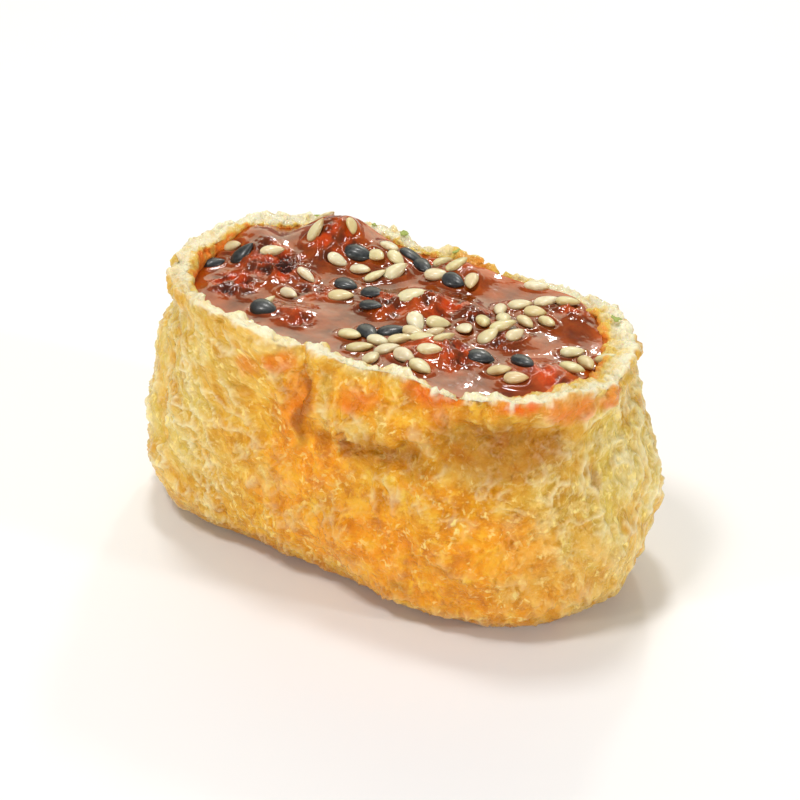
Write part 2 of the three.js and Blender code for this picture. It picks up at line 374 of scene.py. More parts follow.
def stretch_distance(p, along, height, start, stop):
    """Distance from places on the wall to a straight stretch between two of them."""
    run = np.subtract(stop, start)
    rest_along, rest_height = wrapped(p, along - start[0]), height - start[1]
    part = np.clip((rest_along * run[0] + rest_height * run[1]) / (run @ run), 0, 1)
    return np.hypot(rest_along - run[0] * part, rest_height - run[1] * part)


def path_distance(p, along, height, path):
    """Distance from places on the wall to the nearest stretch of a path."""
    stretches = [stretch_distance(p, along, height, *pair) for pair in zip(path, path[1:])]
    return np.min(stretches, axis=0)


def crease_depth(p, along, height):
    """Depth of the deepest crease at each place: a bell across each crease."""
    wall = np.stack([along + 0 * height, height + 0 * along, 0 * (along + height)], axis=-1)
    along = along + 0.9 * noise(wall / 3.4, 71) + 0.35 * noise(wall / 1.3, 72)
    depths = [depth * bell(path_distance(p, along, height, path) / width) for depth, width, path in CREASES]
    return np.max(depths, axis=0)


def swell(p, along, height):
    """Slow swells: sines round the wall that lean as they climb."""
    turn = np.pi * along / back_middle(p)
    return sum(size * np.sin(count * turn + height * lean + start) for size, count, lean, start in SWELLS)


def wall_points(p, place, height, inset):
    """Points of the wall at given heights, `inset` inside the outer face: a spine and a
    radius that shrink on a smooth S from the belly to the lip and curve in like a
    quarter ellipse to the base, with the swells and creases on the outer face."""
    belly = belly_height(p, place)
    climb = np.clip((height - belly) / (lip_height(p, place) - belly), 0, 1)
    upper = ramp(climb, 0.2 * facing(place, -1), 1)
    radius = mix(p.belly_radius, p.lip_radius, upper) - inset
    below = np.clip(1 - height / belly, 0, 1)
    radius -= p.base_inset * (1 - np.sqrt(1 - below**2))
    radius += facing(place, 1) * p.lip_flare * ramp(climb, FLARE_FROM, 1)
    waist = facing(place, 1) * p.waist_depth * bell((climb - WAIST_AT) / WAIST_REACH)
    relief = ramp(height, 0, p.flat_band) * np.clip(1 - inset / RELIEF_FADE, 0, 1)
    bumps = swell(p, place.along, height) - crease_depth(p, place.along, height) - waist
    radius = np.maximum(radius + relief * bumps, 0)
    x = place.spine * mix(p.belly_spine_half, p.lip_spine_half, upper) + radius * np.cos(place.angle)
    y = radius * np.sin(place.angle)
    x, y = spin(x, y, p.lip_twist * upper)
    return np.stack([x + p.lip_shift_x * upper, y + p.lip_shift_y * upper, height + 0 * x], axis=-1)


def set_over(p):
    """How far the formulas' middle is moved so the pouch lies in the packed one's box."""
    place = outline(p, 64, 96)
    heights = np.linspace(0, 1, 60)[:, None] * (lip_height(p, place) - 0.1)
    points = wall_points(p, place, heights, 0).reshape(-1, 3)
    middle = (points.min(axis=0) + points.max(axis=0)) / 2
    box_middle = (np.array(POUCH_BOX[0]) + np.array(POUCH_BOX[1])) / 2 / MM
    return np.array([*(box_middle - middle)[:2], 0])


# ---------------------------------------------------------------- meshes


def grid_normals(rings):
    """Outward directions of a grid of rings, from its steps round and up."""
    around = np.roll(rings, -1, axis=1) - np.roll(rings, 1, axis=1)
    up = np.gradient(rings, axis=0)
    out = np.cross(around, up)
    return out / np.maximum(np.linalg.norm(out, axis=-1, keepdims=True), 1e-9)


def ring_faces(*counts):
    """Four-cornered faces between each ring and the next, as rows of vertex numbers. The
    counts are the levels and the steps round, with the number of grids before them where
    there are several."""
    index = np.arange(np.prod(counts)).reshape(-1, *counts[-2:])
    onward = np.roll(index, -1, axis=2)
    corners = [index[:, :-1], onward[:, :-1], onward[:, 1:], index[:, 1:]]
    return np.stack(corners, axis=-1).reshape(-1, 4)


def make_piece(name, points, faces, attributes, material):
    """A smooth mesh object from points in millimetres. Doubles are merged, so a ring
    squeezed to a line or a point closes. Attributes are named colours, one a vertex."""
    mesh = bpy.data.meshes.new(name)
    mesh.vertices.add(len(points))
    mesh.vertices.foreach_set("co", (points * MM).ravel())
    mesh.loops.add(faces.size)
    mesh.loops.foreach_set("vertex_index", faces.ravel())
    mesh.polygons.add(len(faces))
    mesh.polygons.foreach_set("loop_start", np.arange(len(faces)) * faces.shape[1])
    mesh.update(calc_edges=True)
    for label, values in attributes.items():
        layer = mesh.attributes.new(label, "FLOAT_COLOR", "POINT")
        layer.data.foreach_set("color", values.reshape(-1).astype(np.float32))
    build = bmesh.new()
    build.from_mesh(mesh)
    bmesh.ops.remove_doubles(build, verts=build.verts, dist=1e-4 * MM)
    build.to_mesh(mesh)
    build.free()
    mesh.polygons.foreach_set("use_smooth", np.ones(len(mesh.polygons), dtype=bool))
    mesh.materials.append(material)
    piece = bpy.data.objects.new(name, mesh)
    bpy.context.scene.collection.objects.link(piece)
    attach(piece, "root")
    return piece


def packed(*channels):
    """Up to four arrays put together as one colour attribute, kept between 0 and 1."""
    rest = [np.ones_like(channels[0])] * (4 - len(channels))
    return np.clip(np.stack([*channels, *rest], axis=-1), 0, 1)


# ---------------------------------------------------------------- materials


def new_material(name):
    """An empty node material with its output and one main shader."""
    material = bpy.data.materials.new(name)
    material.use_nodes = True
    tree = material.node_tree
    tree.nodes.clear()
    output = tree.nodes.new("ShaderNodeOutputMaterial")
    shader = tree.nodes.new("ShaderNodeBsdfPrincipled")
    tree.links.new(shader.outputs["BSDF"], output.inputs["Surface"])
    return material, tree, shader


# What a node is to do: add, take away, multiply or keep the higher of two numbers, held
# between 0 and 1, or mix two colours. A Math node's inputs are 0 and 1. A colour Mix's are
# 0, the part of the second colour, and 6 and 7, the two colours. A Map Range's are 0, the
# value, 1 and 2, where it comes from, and 3 and 4, where it goes to.
PLUS = {"operation": "ADD", "use_clamp": True}
LESS = {"operation": "SUBTRACT", "use_clamp": True}
TIMES = {"operation": "MULTIPLY", "use_clamp": True}
HIGHER = {"operation": "MAXIMUM", "use_clamp": True}
COLOURS = {"data_type": "RGBA"}


def set_up(tree, node, values):
    """Sets a node's properties and its inputs, by name or number. An input is linked where
    its value is another node's output, and is otherwise a number or a colour."""
    for key, value in values.items():
        if not isinstance(key, int) and key not in node.inputs:
            setattr(node, key, value)
        elif isinstance(value, bpy.types.NodeSocket):
            tree.links.new(value, node.inputs[key])
        elif node.inputs[key].type == "RGBA":
            node.inputs[key].default_value = (*value, 1)
        else:
            node.inputs[key].default_value = value


def add(tree, kind, values, output=0):
    """Adds one node with its settings and links, and gives one of its outputs."""
    node = tree.nodes.new("ShaderNode" + kind)
    set_up(tree, node, values)
    return node.outputs[output]


# The skin's patterns: size in millimetres, which its weave attribute is in, and settings.
# They are blotches, mottling, grain, two sizes of curled hairlines, dents, specks for
# painted glints and beads of broth.
HAIR = {"noise_type": "RIDGED_MULTIFRACTAL", "normalize": True, "Detail": 3.0, "Distortion": 0.4}
SKIN_PATTERNS = (
    (4.0, {"Detail": 3.0}),
    (1.9, {"Detail": 5.0, "Roughness": 0.66, "Distortion": 0.25}),
    (0.42, {"Detail": 2.0}),
    (3.0, HAIR),
    (1.3, HAIR),
    (2.6, {"Detail": 3.0}),
    (0.75, {"Detail": 3.0, "Distortion": 0.6}),
    (0.8, {"Detail": 2.0}),
)


def tofu_material(p):
    """Aburaage: thin tofu fried in oil, then simmered, so a soft, moist, translucent
    skin. Broth shows amber where the skin is soaked, dry raised membrane shows as pale
    curled lines, which are partly painted highlight along the wrinkle crests, and the cut
    edge shows the white crumb. Painted shade in the creases, low down, under the fold and
    in the hollows, painted light on the raised parts and painted glints are in its colour too."""
    material, tree, shader = new_material("simmered_fried_tofu_skin")
    weave = add(tree, "Attribute", {"attribute_name": "weave"}, "Vector")
    tone = add(tree, "Attribute", {"attribute_name": "tone"})
    amber, pale, stain = add(tree, "SeparateColor", {"Color": tone}).node.outputs
    olive = tone.node.outputs["Alpha"]
    form = add(tree, "Attribute", {"attribute_name": "form"})
    wrinkle, shade, cut = add(tree, "SeparateColor", {"Color": form}).node.outputs
    soaked_edge = form.node.outputs["Alpha"]
    blotch, mottle, grain, curls, small_curls, dents, glints, beads = [
        add(tree, "TexNoise", {**look, "Scale": 1 / size, "Vector": weave}) for size, look in SKIN_PATTERNS
    ]

    hairline = add(tree, "Math", {
        **HIGHER,
        0: add(tree, "MapRange", {0: curls, 1: 0.52, 2: 0.8}),
        1: add(tree, "MapRange", {0: small_curls, 1: 0.58, 2: 0.85, 3: 0.0, 4: 0.8}),
    })
    soaked = add(tree, "Math", {
        **TIMES,
        0: amber,
        1: add(tree, "MapRange", {0: blotch, 1: 0.3, 2: 0.5, 3: 0.7, 4: 1.0}),
    })
    ends = add(tree, "Math", {
        **TIMES,
        0: pale,
        1: add(tree, "MapRange", {0: blotch, 1: 0.36, 2: 0.58, 3: 0.4, 4: 1.0}),
    })
    # Partly painted shade: the low dents and the low mottle, which the bump also sinks, take the deep tone.
    hollow = add(tree, "Math", {
        **HIGHER,
        0: add(tree, "MapRange", {0: dents, 1: 0.5, 2: 0.34, 3: 0.0, 4: 0.55}),
        1: add(tree, "MapRange", {0: mottle, 1: 0.46, 2: 0.33, 3: 0.0, 4: 0.7}),
    })
    film = add(tree, "Math", {
        **HIGHER,
        0: add(tree, "MapRange", {0: mottle, 1: 0.52, 2: 0.68}),
        1: add(tree, "MapRange", {0: dents, 1: 0.53, 2: 0.68, 3: 0.0, 4: 0.7}),
    })
    # Partly painted light: the high mottle, which the bump also raises, the high dents and the grain take the
    # light tone.
    raised = add(tree, "Math", {
        **PLUS,
        0: film,
        1: add(tree, "MapRange", {0: grain, 1: 0.56, 2: 0.7, 3: 0.0, 4: 0.5}),
    })
    # Membrane lines: the hairline noise, partly dry strands, and the wrinkle crests that the displacement
    # raises, partly painted highlight along them.
    lines = add(tree, "Math", {
        **HIGHER,
        0: add(tree, "Math", {**TIMES, 0: hairline, 1: 0.4}),
        1: add(tree, "MapRange", {0: wrinkle, 1: 0.2, 2: 1.0, 3: 0.0, 4: 0.6}),
    })
    lines = add(tree, "Math", {
        **TIMES,
        0: lines,
        1: add(tree, "MapRange", {0: pale, 1: 0.0, 2: 1.0, 3: 0.9, 4: 1.6}),
    })
    wetness = add(tree, "Math", {**TIMES, 0: amber, 1: 0.85})
    dry = add(tree, "Math", {**LESS, 0: 1.0, 1: wetness})
    # Painted glints: pale specks where the glint noise is high, more of them in the high blotches.
    glinting = add(tree, "Math", {
        **TIMES,
        0: add(tree, "MapRange", {0: glints, 1: 0.565, 2: 0.67, 3: 0.0, 4: 0.8}),
        1: add(tree, "MapRange", {0: blotch, 1: 0.42, 2: 0.58, 3: 0.2, 4: 1.0}),
    })
    oily = add(tree, "Math", {
        **TIMES,
        0: stain,
        1: add(tree, "MapRange", {0: mottle, 1: 0.32, 2: 0.55, 3: 0.55, 4: 1.0}),
    })
    pores = add(tree, "Math", {
        **PLUS,
        0: add(tree, "MapRange", {0: mottle, 1: 0.52, 2: 0.36, 3: 0.0, 4: 0.6}),
        1: add(tree, "Math", {**TIMES, 0: soaked_edge, 1: 1.5}),
    })

    # Each tone of the skin goes from gold to amber where it is soaked, and to pale at the ends.
    tones = []
    for gold, soaked_tone, end_tone in (
        (p.gold, p.amber, p.pale),
        (p.gold_deep, p.amber_deep, p.pale_deep),
        (p.gold_light, p.amber_light, p.pale_light),
    ):
        soaked_skin = add(tree, "Mix", {**COLOURS, 0: soaked, 6: gold, 7: soaked_tone}, 2)
        tones.append(add(tree, "Mix", {**COLOURS, 0: ends, 6: soaked_skin, 7: end_tone}, 2))
    skin, deep, light = tones
    for part, over in (
        # Olive, partly painted shade under the fold.
        (add(tree, "Math", {**TIMES, 0: olive, 1: 0.7}), p.olive),
        # Partly painted shade in the hollows, and below it partly painted light on the raised parts.
        (hollow, deep),
        (raised, light),
        # Membrane lines, partly painted highlight on the wrinkle crests.
        (add(tree, "Math", {**TIMES, 0: lines, 1: dry}), p.membrane),
        # Painted glints.
        (glinting, p.painted_glint),
        (oily, p.stain),
        # Painted shade in the creases, low down and under the fold, with the browner patches.
        (shade, p.brown),
        (cut, add(tree, "Mix", {**COLOURS, 0: pores, 6: p.crumb, 7: p.crumb_deep}, 2)),
        (add(tree, "MapRange", {0: soaked_edge, 1: 0.62, 2: 1.0, 3: 0.0, 4: 0.85}), p.stain),
    ):
        skin = add(tree, "Mix", {**COLOURS, 0: part, 6: skin, 7: over}, 2)

    # Broth lies on the smooth skin and leaves the dry lines and the crumb duller.
    matt = add(tree, "Math", {
        **PLUS,
        0: add(tree, "Math", {**TIMES, 0: lines, 1: 0.1}),
        1: add(tree, "Math", {**TIMES, 0: cut, 1: 0.2}),
    })
    satin = add(tree, "MapRange", {0: grain, 1: 0.35, 2: 0.7, 3: 0.24, 4: 0.42})
    roughness = add(tree, "Math", {**PLUS, 0: satin, 1: matt})
    coarse = add(tree, "Math", {
        **PLUS,
        0: add(tree, "Math", {**TIMES, 0: mottle, 1: 0.6}),
        1: add(tree, "Math", {**TIMES, 0: hairline, 1: 0.12}),
    })
    crumbs = add(tree, "Math", {**PLUS, 0: add(tree, "Math", {**TIMES, 0: cut, 1: 0.2}), 1: 0.15})
    crumbly = add(tree, "Math", {**TIMES, 0: grain, 1: crumbs})
    fine = add(tree, "Math", {**PLUS, 0: coarse, 1: crumbly})
    bump = add(tree, "Bump", {"Strength": 1.0, "Distance": 1.15 * MM, "Height": fine})
    wet = add(tree, "Bump", {"Strength": 1.0, "Distance": 0.45 * MM, "Height": beads, "Normal": bump})
    set_up(tree, shader, {
        "Base Color": skin,
        "Roughness": roughness,
        "IOR": 1.36,
        "Subsurface Weight": 0.2,
        "Subsurface Radius": (1.0, 0.5, 0.15),
        "Subsurface Scale": 0.7 * MM,
        "Specular IOR Level": 0.15,
        "Coat Weight": 0.7,
        "Coat IOR": 1.36,
        "Coat Roughness": 0.09,
        "Normal": bump,
        "Coat Normal": wet,
    })
    return material


def sauce_material(f):
    """Chopped fish in thick chilli sauce: a wet, nearly clear red jelly over pink fish.
    Its smooth film mirrors the light, and where it tips away it shows deep red. The pits
    between the minced pieces are painted with shade and a glow."""
    material, tree, shader = new_material("chilli_sauced_fish")
    place = add(tree, "TexCoord", {}, "Object")
    mark = add(tree, "Attribute", {"attribute_name": "mince"})
    thin, fish, deep = add(tree, "SeparateColor", {"Color": mark}).node.outputs
    blotch = add(tree, "TexNoise", {"Scale": 1 / (2.6 * MM), "Detail": 3.0, "Vector": place})
    flecks = add(tree, "TexNoise", {"Scale": 1 / (1.1 * MM), "Detail": 2.0, "Vector": place})
    film = add(tree, "TexNoise", {"Scale": 1 / (1.6 * MM), "Detail": 2.0, "Vector": place})

    runny = add(tree, "Math", {
        **TIMES,
        0: thin,
        1: add(tree, "MapRange", {0: flecks, 1: 0.3, 2: 0.6, 3: 0.6, 4: 1.0}),
    })
    bare = add(tree, "Math", {
        **TIMES,
        0: fish,
        1: add(tree, "MapRange", {0: blotch, 1: 0.3, 2: 0.6, 3: 0.5, 4: 1.0}),
    })
    glow = add(tree, "MapRange", {0: blotch, 1: 0.44, 2: 0.6})
    red = f.sauce
    for part, over in (
        (add(tree, "MapRange", {0: blotch, 1: 0.35, 2: 0.7, 3: 0.0, 4: 0.5}), f.sauce_thin),
        (runny, f.sauce_thin),
        (bare, f.fish),
        # Painted shade in the pits, lit in places by a painted glow.
        (
            add(tree, "Math", {**TIMES, 0: deep, 1: 0.9}),
            add(tree, "Mix", {**COLOURS, 0: glow, 6: f.sauce_deep, 7: f.sauce_glow}, 2),
        ),
    ):
        red = add(tree, "Mix", {**COLOURS, 0: part, 6: red, 7: over}, 2)
    roughness = add(tree, "MapRange", {0: flecks, 1: 0.3, 2: 0.7, 3: 0.1, 4: 0.26})
    bump = add(tree, "Bump", {"Strength": 0.3, "Distance": 0.25 * MM, "Height": film})
    set_up(tree, shader, {
        "Base Color": red,
        "Roughness": roughness,
        "IOR": 1.45,
        "Subsurface Weight": 0.3,
        "Subsurface Radius": (1.0, 0.25, 0.1),
        "Subsurface Scale": 1.5 * MM,
        "Specular IOR Level": 0.1,
        "Coat Weight": 1.0,
        "Coat Roughness": 0.02,
        "Coat IOR": 1.5,
        "Normal": bump,
        "Coat Normal": bump,
    })
    return material


def white_seed_material(t):
    """Hulled sesame, lightly toasted: an oily, slightly clear ivory skin, browner at the
    pointed tip, with faint lengthwise shading."""
    material, tree, shader = new_material("toasted_white_sesame")
    place = add(tree, "TexCoord", {}, "Object")
    mark = add(tree, "Attribute", {"attribute_name": "seed"})
    tip, tint, toast = add(tree, "SeparateColor", {"Color": mark}).node.outputs
    blotch = add(tree, "TexNoise", {"Scale": 1 / (0.9 * MM), "Detail": 3.0, "Vector": place})
    fine = add(tree, "TexNoise", {"Scale": 1 / (0.25 * MM), "Detail": 1.0, "Vector": place})
    # Painted shade: the rim round the seed's edge, where it turns away, is browned like the toasted tip.
    rim = add(tree, "Math", {
        **TIMES,
        0: mark.node.outputs["Alpha"],
        1: add(tree, "MapRange", {0: blotch, 1: 0.3, 2: 0.6, 3: 0.25, 4: 0.8}),
    })
    tip_toast_and_edge_shade = add(tree, "Math", {**HIGHER, 0: add(tree, "Math", {**TIMES, 0: tip, 1: 0.8}), 1: rim})
    seed = t.white
    for part, over in (
        (tint, t.white_light),
        (add(tree, "Math", {**TIMES, 0: toast, 1: 0.45}), t.white_toasted),
        (add(tree, "MapRange", {0: blotch, 1: 0.45, 2: 0.8, 3: 0.0, 4: 0.35}), t.white_tip),
        (tip_toast_and_edge_shade, t.white_tip),
    ):
        seed = add(tree, "Mix", {**COLOURS, 0: part, 6: seed, 7: over}, 2)
    roughness = add(tree, "MapRange", {0: fine, 1: 0.3, 2: 0.7, 3: 0.3, 4: 0.5})
    bump = add(tree, "Bump", {"Strength": 0.2, "Distance": 0.05 * MM, "Height": fine})
    set_up(tree, shader, {
        "Base Color": seed,
        "Roughness": roughness,
        "IOR": 1.46,
        "Subsurface Weight": 0.25,
        "Subsurface Radius": (1.0, 0.7, 0.35),
        "Subsurface Scale": 0.8 * MM,
        "Coat Weight": 0.3,
        "Coat Roughness": 0.15,
        "Normal": bump,
    })
    return material


def black_seed_material(t):
    """Unhulled black sesame: a grey-green black coat, finely pitted, so it takes a soft
    satin light rather than a mirror."""
    material, tree, shader = new_material("black_sesame")
    place = add(tree, "TexCoord", {}, "Object")
    mark = add(tree, "Attribute", {"attribute_name": "seed"})
    tint = add(tree, "SeparateColor", {"Color": mark}, "Green")
    pits = add(tree, "TexNoise", {"Scale": 1 / (0.3 * MM), "Detail": 2.0, "Vector": place})
    coat = t.black
    for part, over in (
        (add(tree, "MapRange", {0: pits, 1: 0.35, 2: 0.7}), t.black_light),
        (add(tree, "Math", {**TIMES, 0: tint, 1: 0.5}), t.black_deep),
    ):
        coat = add(tree, "Mix", {**COLOURS, 0: part, 6: coat, 7: over}, 2)
    roughness = add(tree, "MapRange", {0: pits, 1: 0.3, 2: 0.7, 3: 0.32, 4: 0.5})
    bump = add(tree, "Bump", {"Strength": 0.35, "Distance": 0.06 * MM, "Height": pits})
    set_up(tree, shader, {
        "Base Color": coat,
        "Roughness": roughness,
        "IOR": 1.46,
        "Coat Weight": 0.25,
        "Coat Roughness": 0.15,
        "Normal": bump,
    })
    return material


def flake_material(t):
    """Crumbled dried seaweed: thin, matt, mottled green."""
    material, tree, shader = new_material("dried_green_seaweed")
    place = add(tree, "TexCoord", {}, "Object")
    mottle = add(tree, "TexNoise", {"Scale": 1 / (0.4 * MM), "Detail": 2.0, "Vector": place})
    paler = add(tree, "MapRange", {0: mottle, 1: 0.35, 2: 0.7})
    green = add(tree, "Mix", {**COLOURS, 0: paler, 6: t.green, 7: t.green_light}, 2)
    roughness = add(tree, "MapRange", {0: mottle, 1: 0.3, 2: 0.7, 3: 0.55, 4: 0.8})
    bump = add(tree, "Bump", {"Strength": 0.3, "Distance": 0.05 * MM, "Height": mottle})
    set_up(tree, shader, {"Base Color": green, "Roughness": roughness, "Normal": bump})
    return material


# ---------------------------------------------------------------- tofu pouch

# Patches of the skin: place [distance round from the front's middle, height], reach
# [along, up] and strength.
AMBER_PATCHES = (
    ((-3.0, 23.0), (3.5, 8.0), 0.9),
    ((36.0, 9.0), (9.0, 6.0), 0.7),
    ((9.0, 29.0), (12.0, 3.0), 0.5),
    ((1.5, 19.5), (6.0, 4.5), 1.0),
    ((12.0, 11.5), (8.0, 6.0), 1.0),
    ((28.0, 14.0), (11.0, 5.5), 0.95),
    ((-4.0, 14.0), (5.0, 6.0), 0.7),
    ((22.0, 7.0), (20.0, 4.0), 0.8),
    ((3.0, 8.0), (8.0, 4.0), 0.8),
    ((19.0, 20.5), (5.0, 2.5), 0.5),
    ((92.0, 13.0), (16.0, 8.0), 0.9),
    ((76.0, 16.0), (8.0, 6.0), 0.6),
    ((-80.0, 9.0), (9.0, 5.0), 0.7),
)
STAIN_PATCHES = (
    ((-6.5, 31.0), (1.6, 1.8), 0.6),
    ((-3.6, 27.0), (2.2, 4.5), 0.45),
    ((7.5, 29.0), (4.0, 1.5), 0.6),
    ((18.5, 32.8), (4.2, 2.4), 0.95),
    ((19.5, 29.5), (3.0, 2.0), 0.4),
    ((31.0, 32.6), (4.5, 1.8), 1.0),
    ((37.5, 30.8), (4.5, 2.0), 0.65),
    ((44.5, 31.0), (3.5, 1.3), 0.7),
    ((-11.0, 29.0), (2.2, 1.5), 0.35),
    ((-50.0, 33.5), (3.0, 1.0), 0.6),
    ((83.0, 32.4), (5.0, 1.8), 0.7),
    ((102.0, 31.5), (4.0, 2.2), 0.7),
    ((-72.0, 32.6), (5.0, 1.8), 0.6),
)
PALE_PATCHES = (
    ((1.0, 28.0), (1.5, 4.5), 0.75),
    ((8.0, 33.0), (9.0, 1.2), 0.5),
    ((-14.0, 32.5), (10.0, 1.5), 0.5),
    ((-7.0, 14.5), (2.2, 2.6), 0.5),
    ((-1.5, 9.5), (2.4, 1.8), 0.45),
    ((8.0, 25.5), (1.5, 2.0), 0.5),
    ((12.5, 26.0), (1.4, 2.4), 0.5),
    ((23.0, 23.2), (4.0, 1.2), 0.45),
    ((30.0, 8.0), (2.0, 2.6), 0.4),
    ((38.0, 12.0), (2.0, 4.5), 0.6),
    ((84.0, 27.0), (2.0, 4.5), 0.6),
    ((99.0, 14.0), (2.5, 3.5), 0.5),
)
# Olive patches: darker greenish skin, partly painted shade under the lobes of the fold.
OLIVE_PATCHES = (
    ((26.5, 27.3), (4.5, 2.6), 0.8),
    ((11.5, 23.4), (4.0, 1.2), 0.7),
    ((34.0, 19.5), (7.0, 3.0), 0.35),
    ((-13.0, 28.0), (5.0, 3.0), 0.3),
    ((97.0, 26.0), (5.0, 3.0), 0.6),
)
# Brown patches: partly painted shadow under the lobes of the fold and along the front crease, partly browner
# skin.
SHADE_AND_BROWN_PATCHES = (
    ((12.0, 23.0), (8.0, 2.6), 0.5),
    ((27.0, 26.2), (10.0, 4.0), 0.6),
    ((-2.2, 26.0), (1.2, 6.0), 0.8),
    ((41.5, 21.5), (1.7, 1.9), 0.45),
    ((14.5, 5.8), (2.4, 0.9), 0.6),
    ((5.6, 22.6), (1.4, 1.8), 0.5),
    ((1.0, 22.0), (1.6, 1.2), 0.35),
    ((11.0, 22.4), (1.6, 1.6), 0.45),
    ((84.0, 21.0), (2.0, 2.0), 0.4),
)

# Lobes of the fold that hangs over the front: place and reach round the wall, size.
FOLD_LOBES = ((3.2, 1.6, 1.0), (8.2, 1.9, 1.3), (12.8, 1.4, 0.6))
# Steps along each straight side and round each end of the pouch and of the filling.
POUCH_STEPS = (108, 188)
FILLING_STEPS = (120, 180)
# Rings of the pouch: under the base, up the belly, up the wall, over the cut, down the
# inside and across the floor.
BASE_RINGS, BELLY_RINGS, WALL_RINGS, CUT_RINGS, INNER_RINGS, FLOOR_RINGS = 6, 24, 88, 20, 16, 4


def patches(p, along, height, table):
    """The strongest of several soft-edged oval patches at each place."""
    layers = []
    for (at_along, at_height), (wide, tall), strength in table:
        away = np.hypot(wrapped(p, along - at_along) / wide, (height - at_height) / tall)
        layers.append(strength * ramp(-away, -1.35, -0.45))
    return np.max(layers, axis=0)


def wall_thickness(p, place):
    """Thickness of the skin: thin where it is seen from the front, thick at the +X end."""
    back = np.maximum(0, np.sin(place.angle))
    ends = p.end_wall * facing(place, 1) ** 2 + 0.5 * p.end_wall * facing(place, -1) ** 2
    return p.wall + p.back_wall * back + ends


def cut_drop(p, place):
    """How much lower the inner edge of the cut lies than the outer, most at the +X end."""
    return 0.5 + 1.0 * facing(place, 1) ** 2


def pouch_levels(p, place):
    """Heights and insets of the rings, from the middle of the base, out and up the wall,
    over the sloping cut edge, down inside and in across the floor."""
    level = np.ones_like(place.along)
    lip = lip_height(p, place)
    belly = belly_height(p, place)
    wall = wall_thickness(p, place)
    base_radius = p.belly_radius - p.base_inset
    rows = [(0 * level, base_radius * (1 - part) * level) for part in np.linspace(0, 1, BASE_RINGS)[:-1]]
    quarter = np.linspace(0, np.pi / 2, BELLY_RINGS)[:-1]
    rows += [((1 - np.cos(turn)) * belly, 0 * level) for turn in quarter]
    top = lip - p.lip_rounding
    rows += [(mix(belly, top, part), 0 * level) for part in np.linspace(0, 1, WALL_RINGS)[:-1]]
    inner = top - cut_drop(p, place)
    for part in np.linspace(0, 1, CUT_RINGS):
        rounded = 1 - (1 - np.sin(np.pi * part)) ** 2
        height = mix(top, inner, part) + p.lip_rounding * rounded**0.6
        rows.append((height, wall * ramp(part, -0.15, 1.15)))
    rows += [(mix(inner, p.floor, part), wall) for part in np.linspace(0, 1, INNER_RINGS)[1:] ** 2]
    across = np.linspace(0, 1, FLOOR_RINGS)[1:]
    rows += [(p.floor * level, mix(wall, p.belly_radius, part)) for part in across]
    heights, insets = zip(*rows)
    return np.stack(heights), np.stack(insets)


def drawn_out(p, place, height):
    """Where the ends' wrinkles are drawn upright, 0 to 1."""
    return ramp(np.abs(wrapped(p, place.along - 6)), 24, 44) + 0 * height


def weave(p, place, points, height):
    """Coordinates in millimetres for the skin's fine pattern: squeezed upright at the
    ends so it makes tall streaks there, and slanted left of the front fold."""
    slant = 0.45 * bell((wrapped(p, place.along + 21)) / 11)
    squeeze = mix(1.0, 0.6, drawn_out(p, place, height)) * mix(1.0, 0.8, slant)
    rise = height - p.lip_height / 2
    shifted = np.stack([points[..., 0] + slant * rise, points[..., 1], rise * squeeze], axis=-1)
    return curled(shifted / 3, 0.16, 61) * 3


def skin_relief(p, place, points, pattern, height, lip_part, outer):
    """How far the skin stands out, and how wrinkled it is: soft dents, a fold that hangs
    over the front like a shelf, and curled wrinkles that follow the pattern."""
    along = place.along + 1.2 * noise(points / 3.0, 5) + 0.7 * noise(points / 1.2, 6)
    soft = p.crumple * (noise(points / 6.5, 1) + 0.6 * noise(pattern / 3.0, 2))
    lobes = sum(size * bell((along - at) / reach) for at, reach, size in FOLD_LOBES)
    edge = 25.0 + 0.8 * noise(points / 2.4, 3) - 1.9 * lobes
    shelf = ramp(height, edge - 0.2, edge + 0.9) * (1 - ramp(height, 26, 33))
    shelf *= ramp(along, -2.4, -0.8) * (1 - ramp(along, 13, 19))
    curly = ridges(curled(pattern / 2.4, 0.5, 4), 2.6, 8)
    small = ridges(curled(pattern / 1.3, 0.5, 11), 2.2, 15)
    wrinkle = np.maximum(curly, 0.7 * small) * ramp(layered(points / 4, 2, 20), -0.55, 0.3)
    puff = np.abs(noise(pattern / 2.0, 17)) ** 0.7
    spongy = layered(points / 1.4, 3, 23)
    skin = soft + 1.1 * shelf + p.wrinkle * (wrinkle + 1.1 * puff - 0.5) * (1 - lip_part)
    notches = 0.45 * noise(points / 2.6, 26) - 0.5 * ramp(noise(points / 1.5, 29), 0.25, 0.5)
    return outer * skin + lip_part * (0.5 * spongy + notches), wrinkle


def skin_tones(p, place, height, drift, sway):
    """How amber, pale, stained and olive the skin is, 0 to 1. The drift and the sway make
    the edges uneven, and the skin is pale at the two ends."""
    along, level = place.along + drift, height + sway * 0.6
    far = np.abs(wrapped(p, place.along + drift * 2 - 10))
    back = np.abs(wrapped(p, place.along + drift * 2 - back_middle(p)))
    ends = ramp(far, 15, 33) * ramp(back, 14, 34) * (0.65 + 0.35 * ramp(height, 6, 14))
    amber = patches(p, along, level, AMBER_PATCHES)
    pale = np.maximum(ends, patches(p, along, level, PALE_PATCHES))
    stain = patches(p, along, height + sway * 0.4, STAIN_PATCHES)
    return amber, pale, stain, patches(p, along, level, OLIVE_PATCHES)


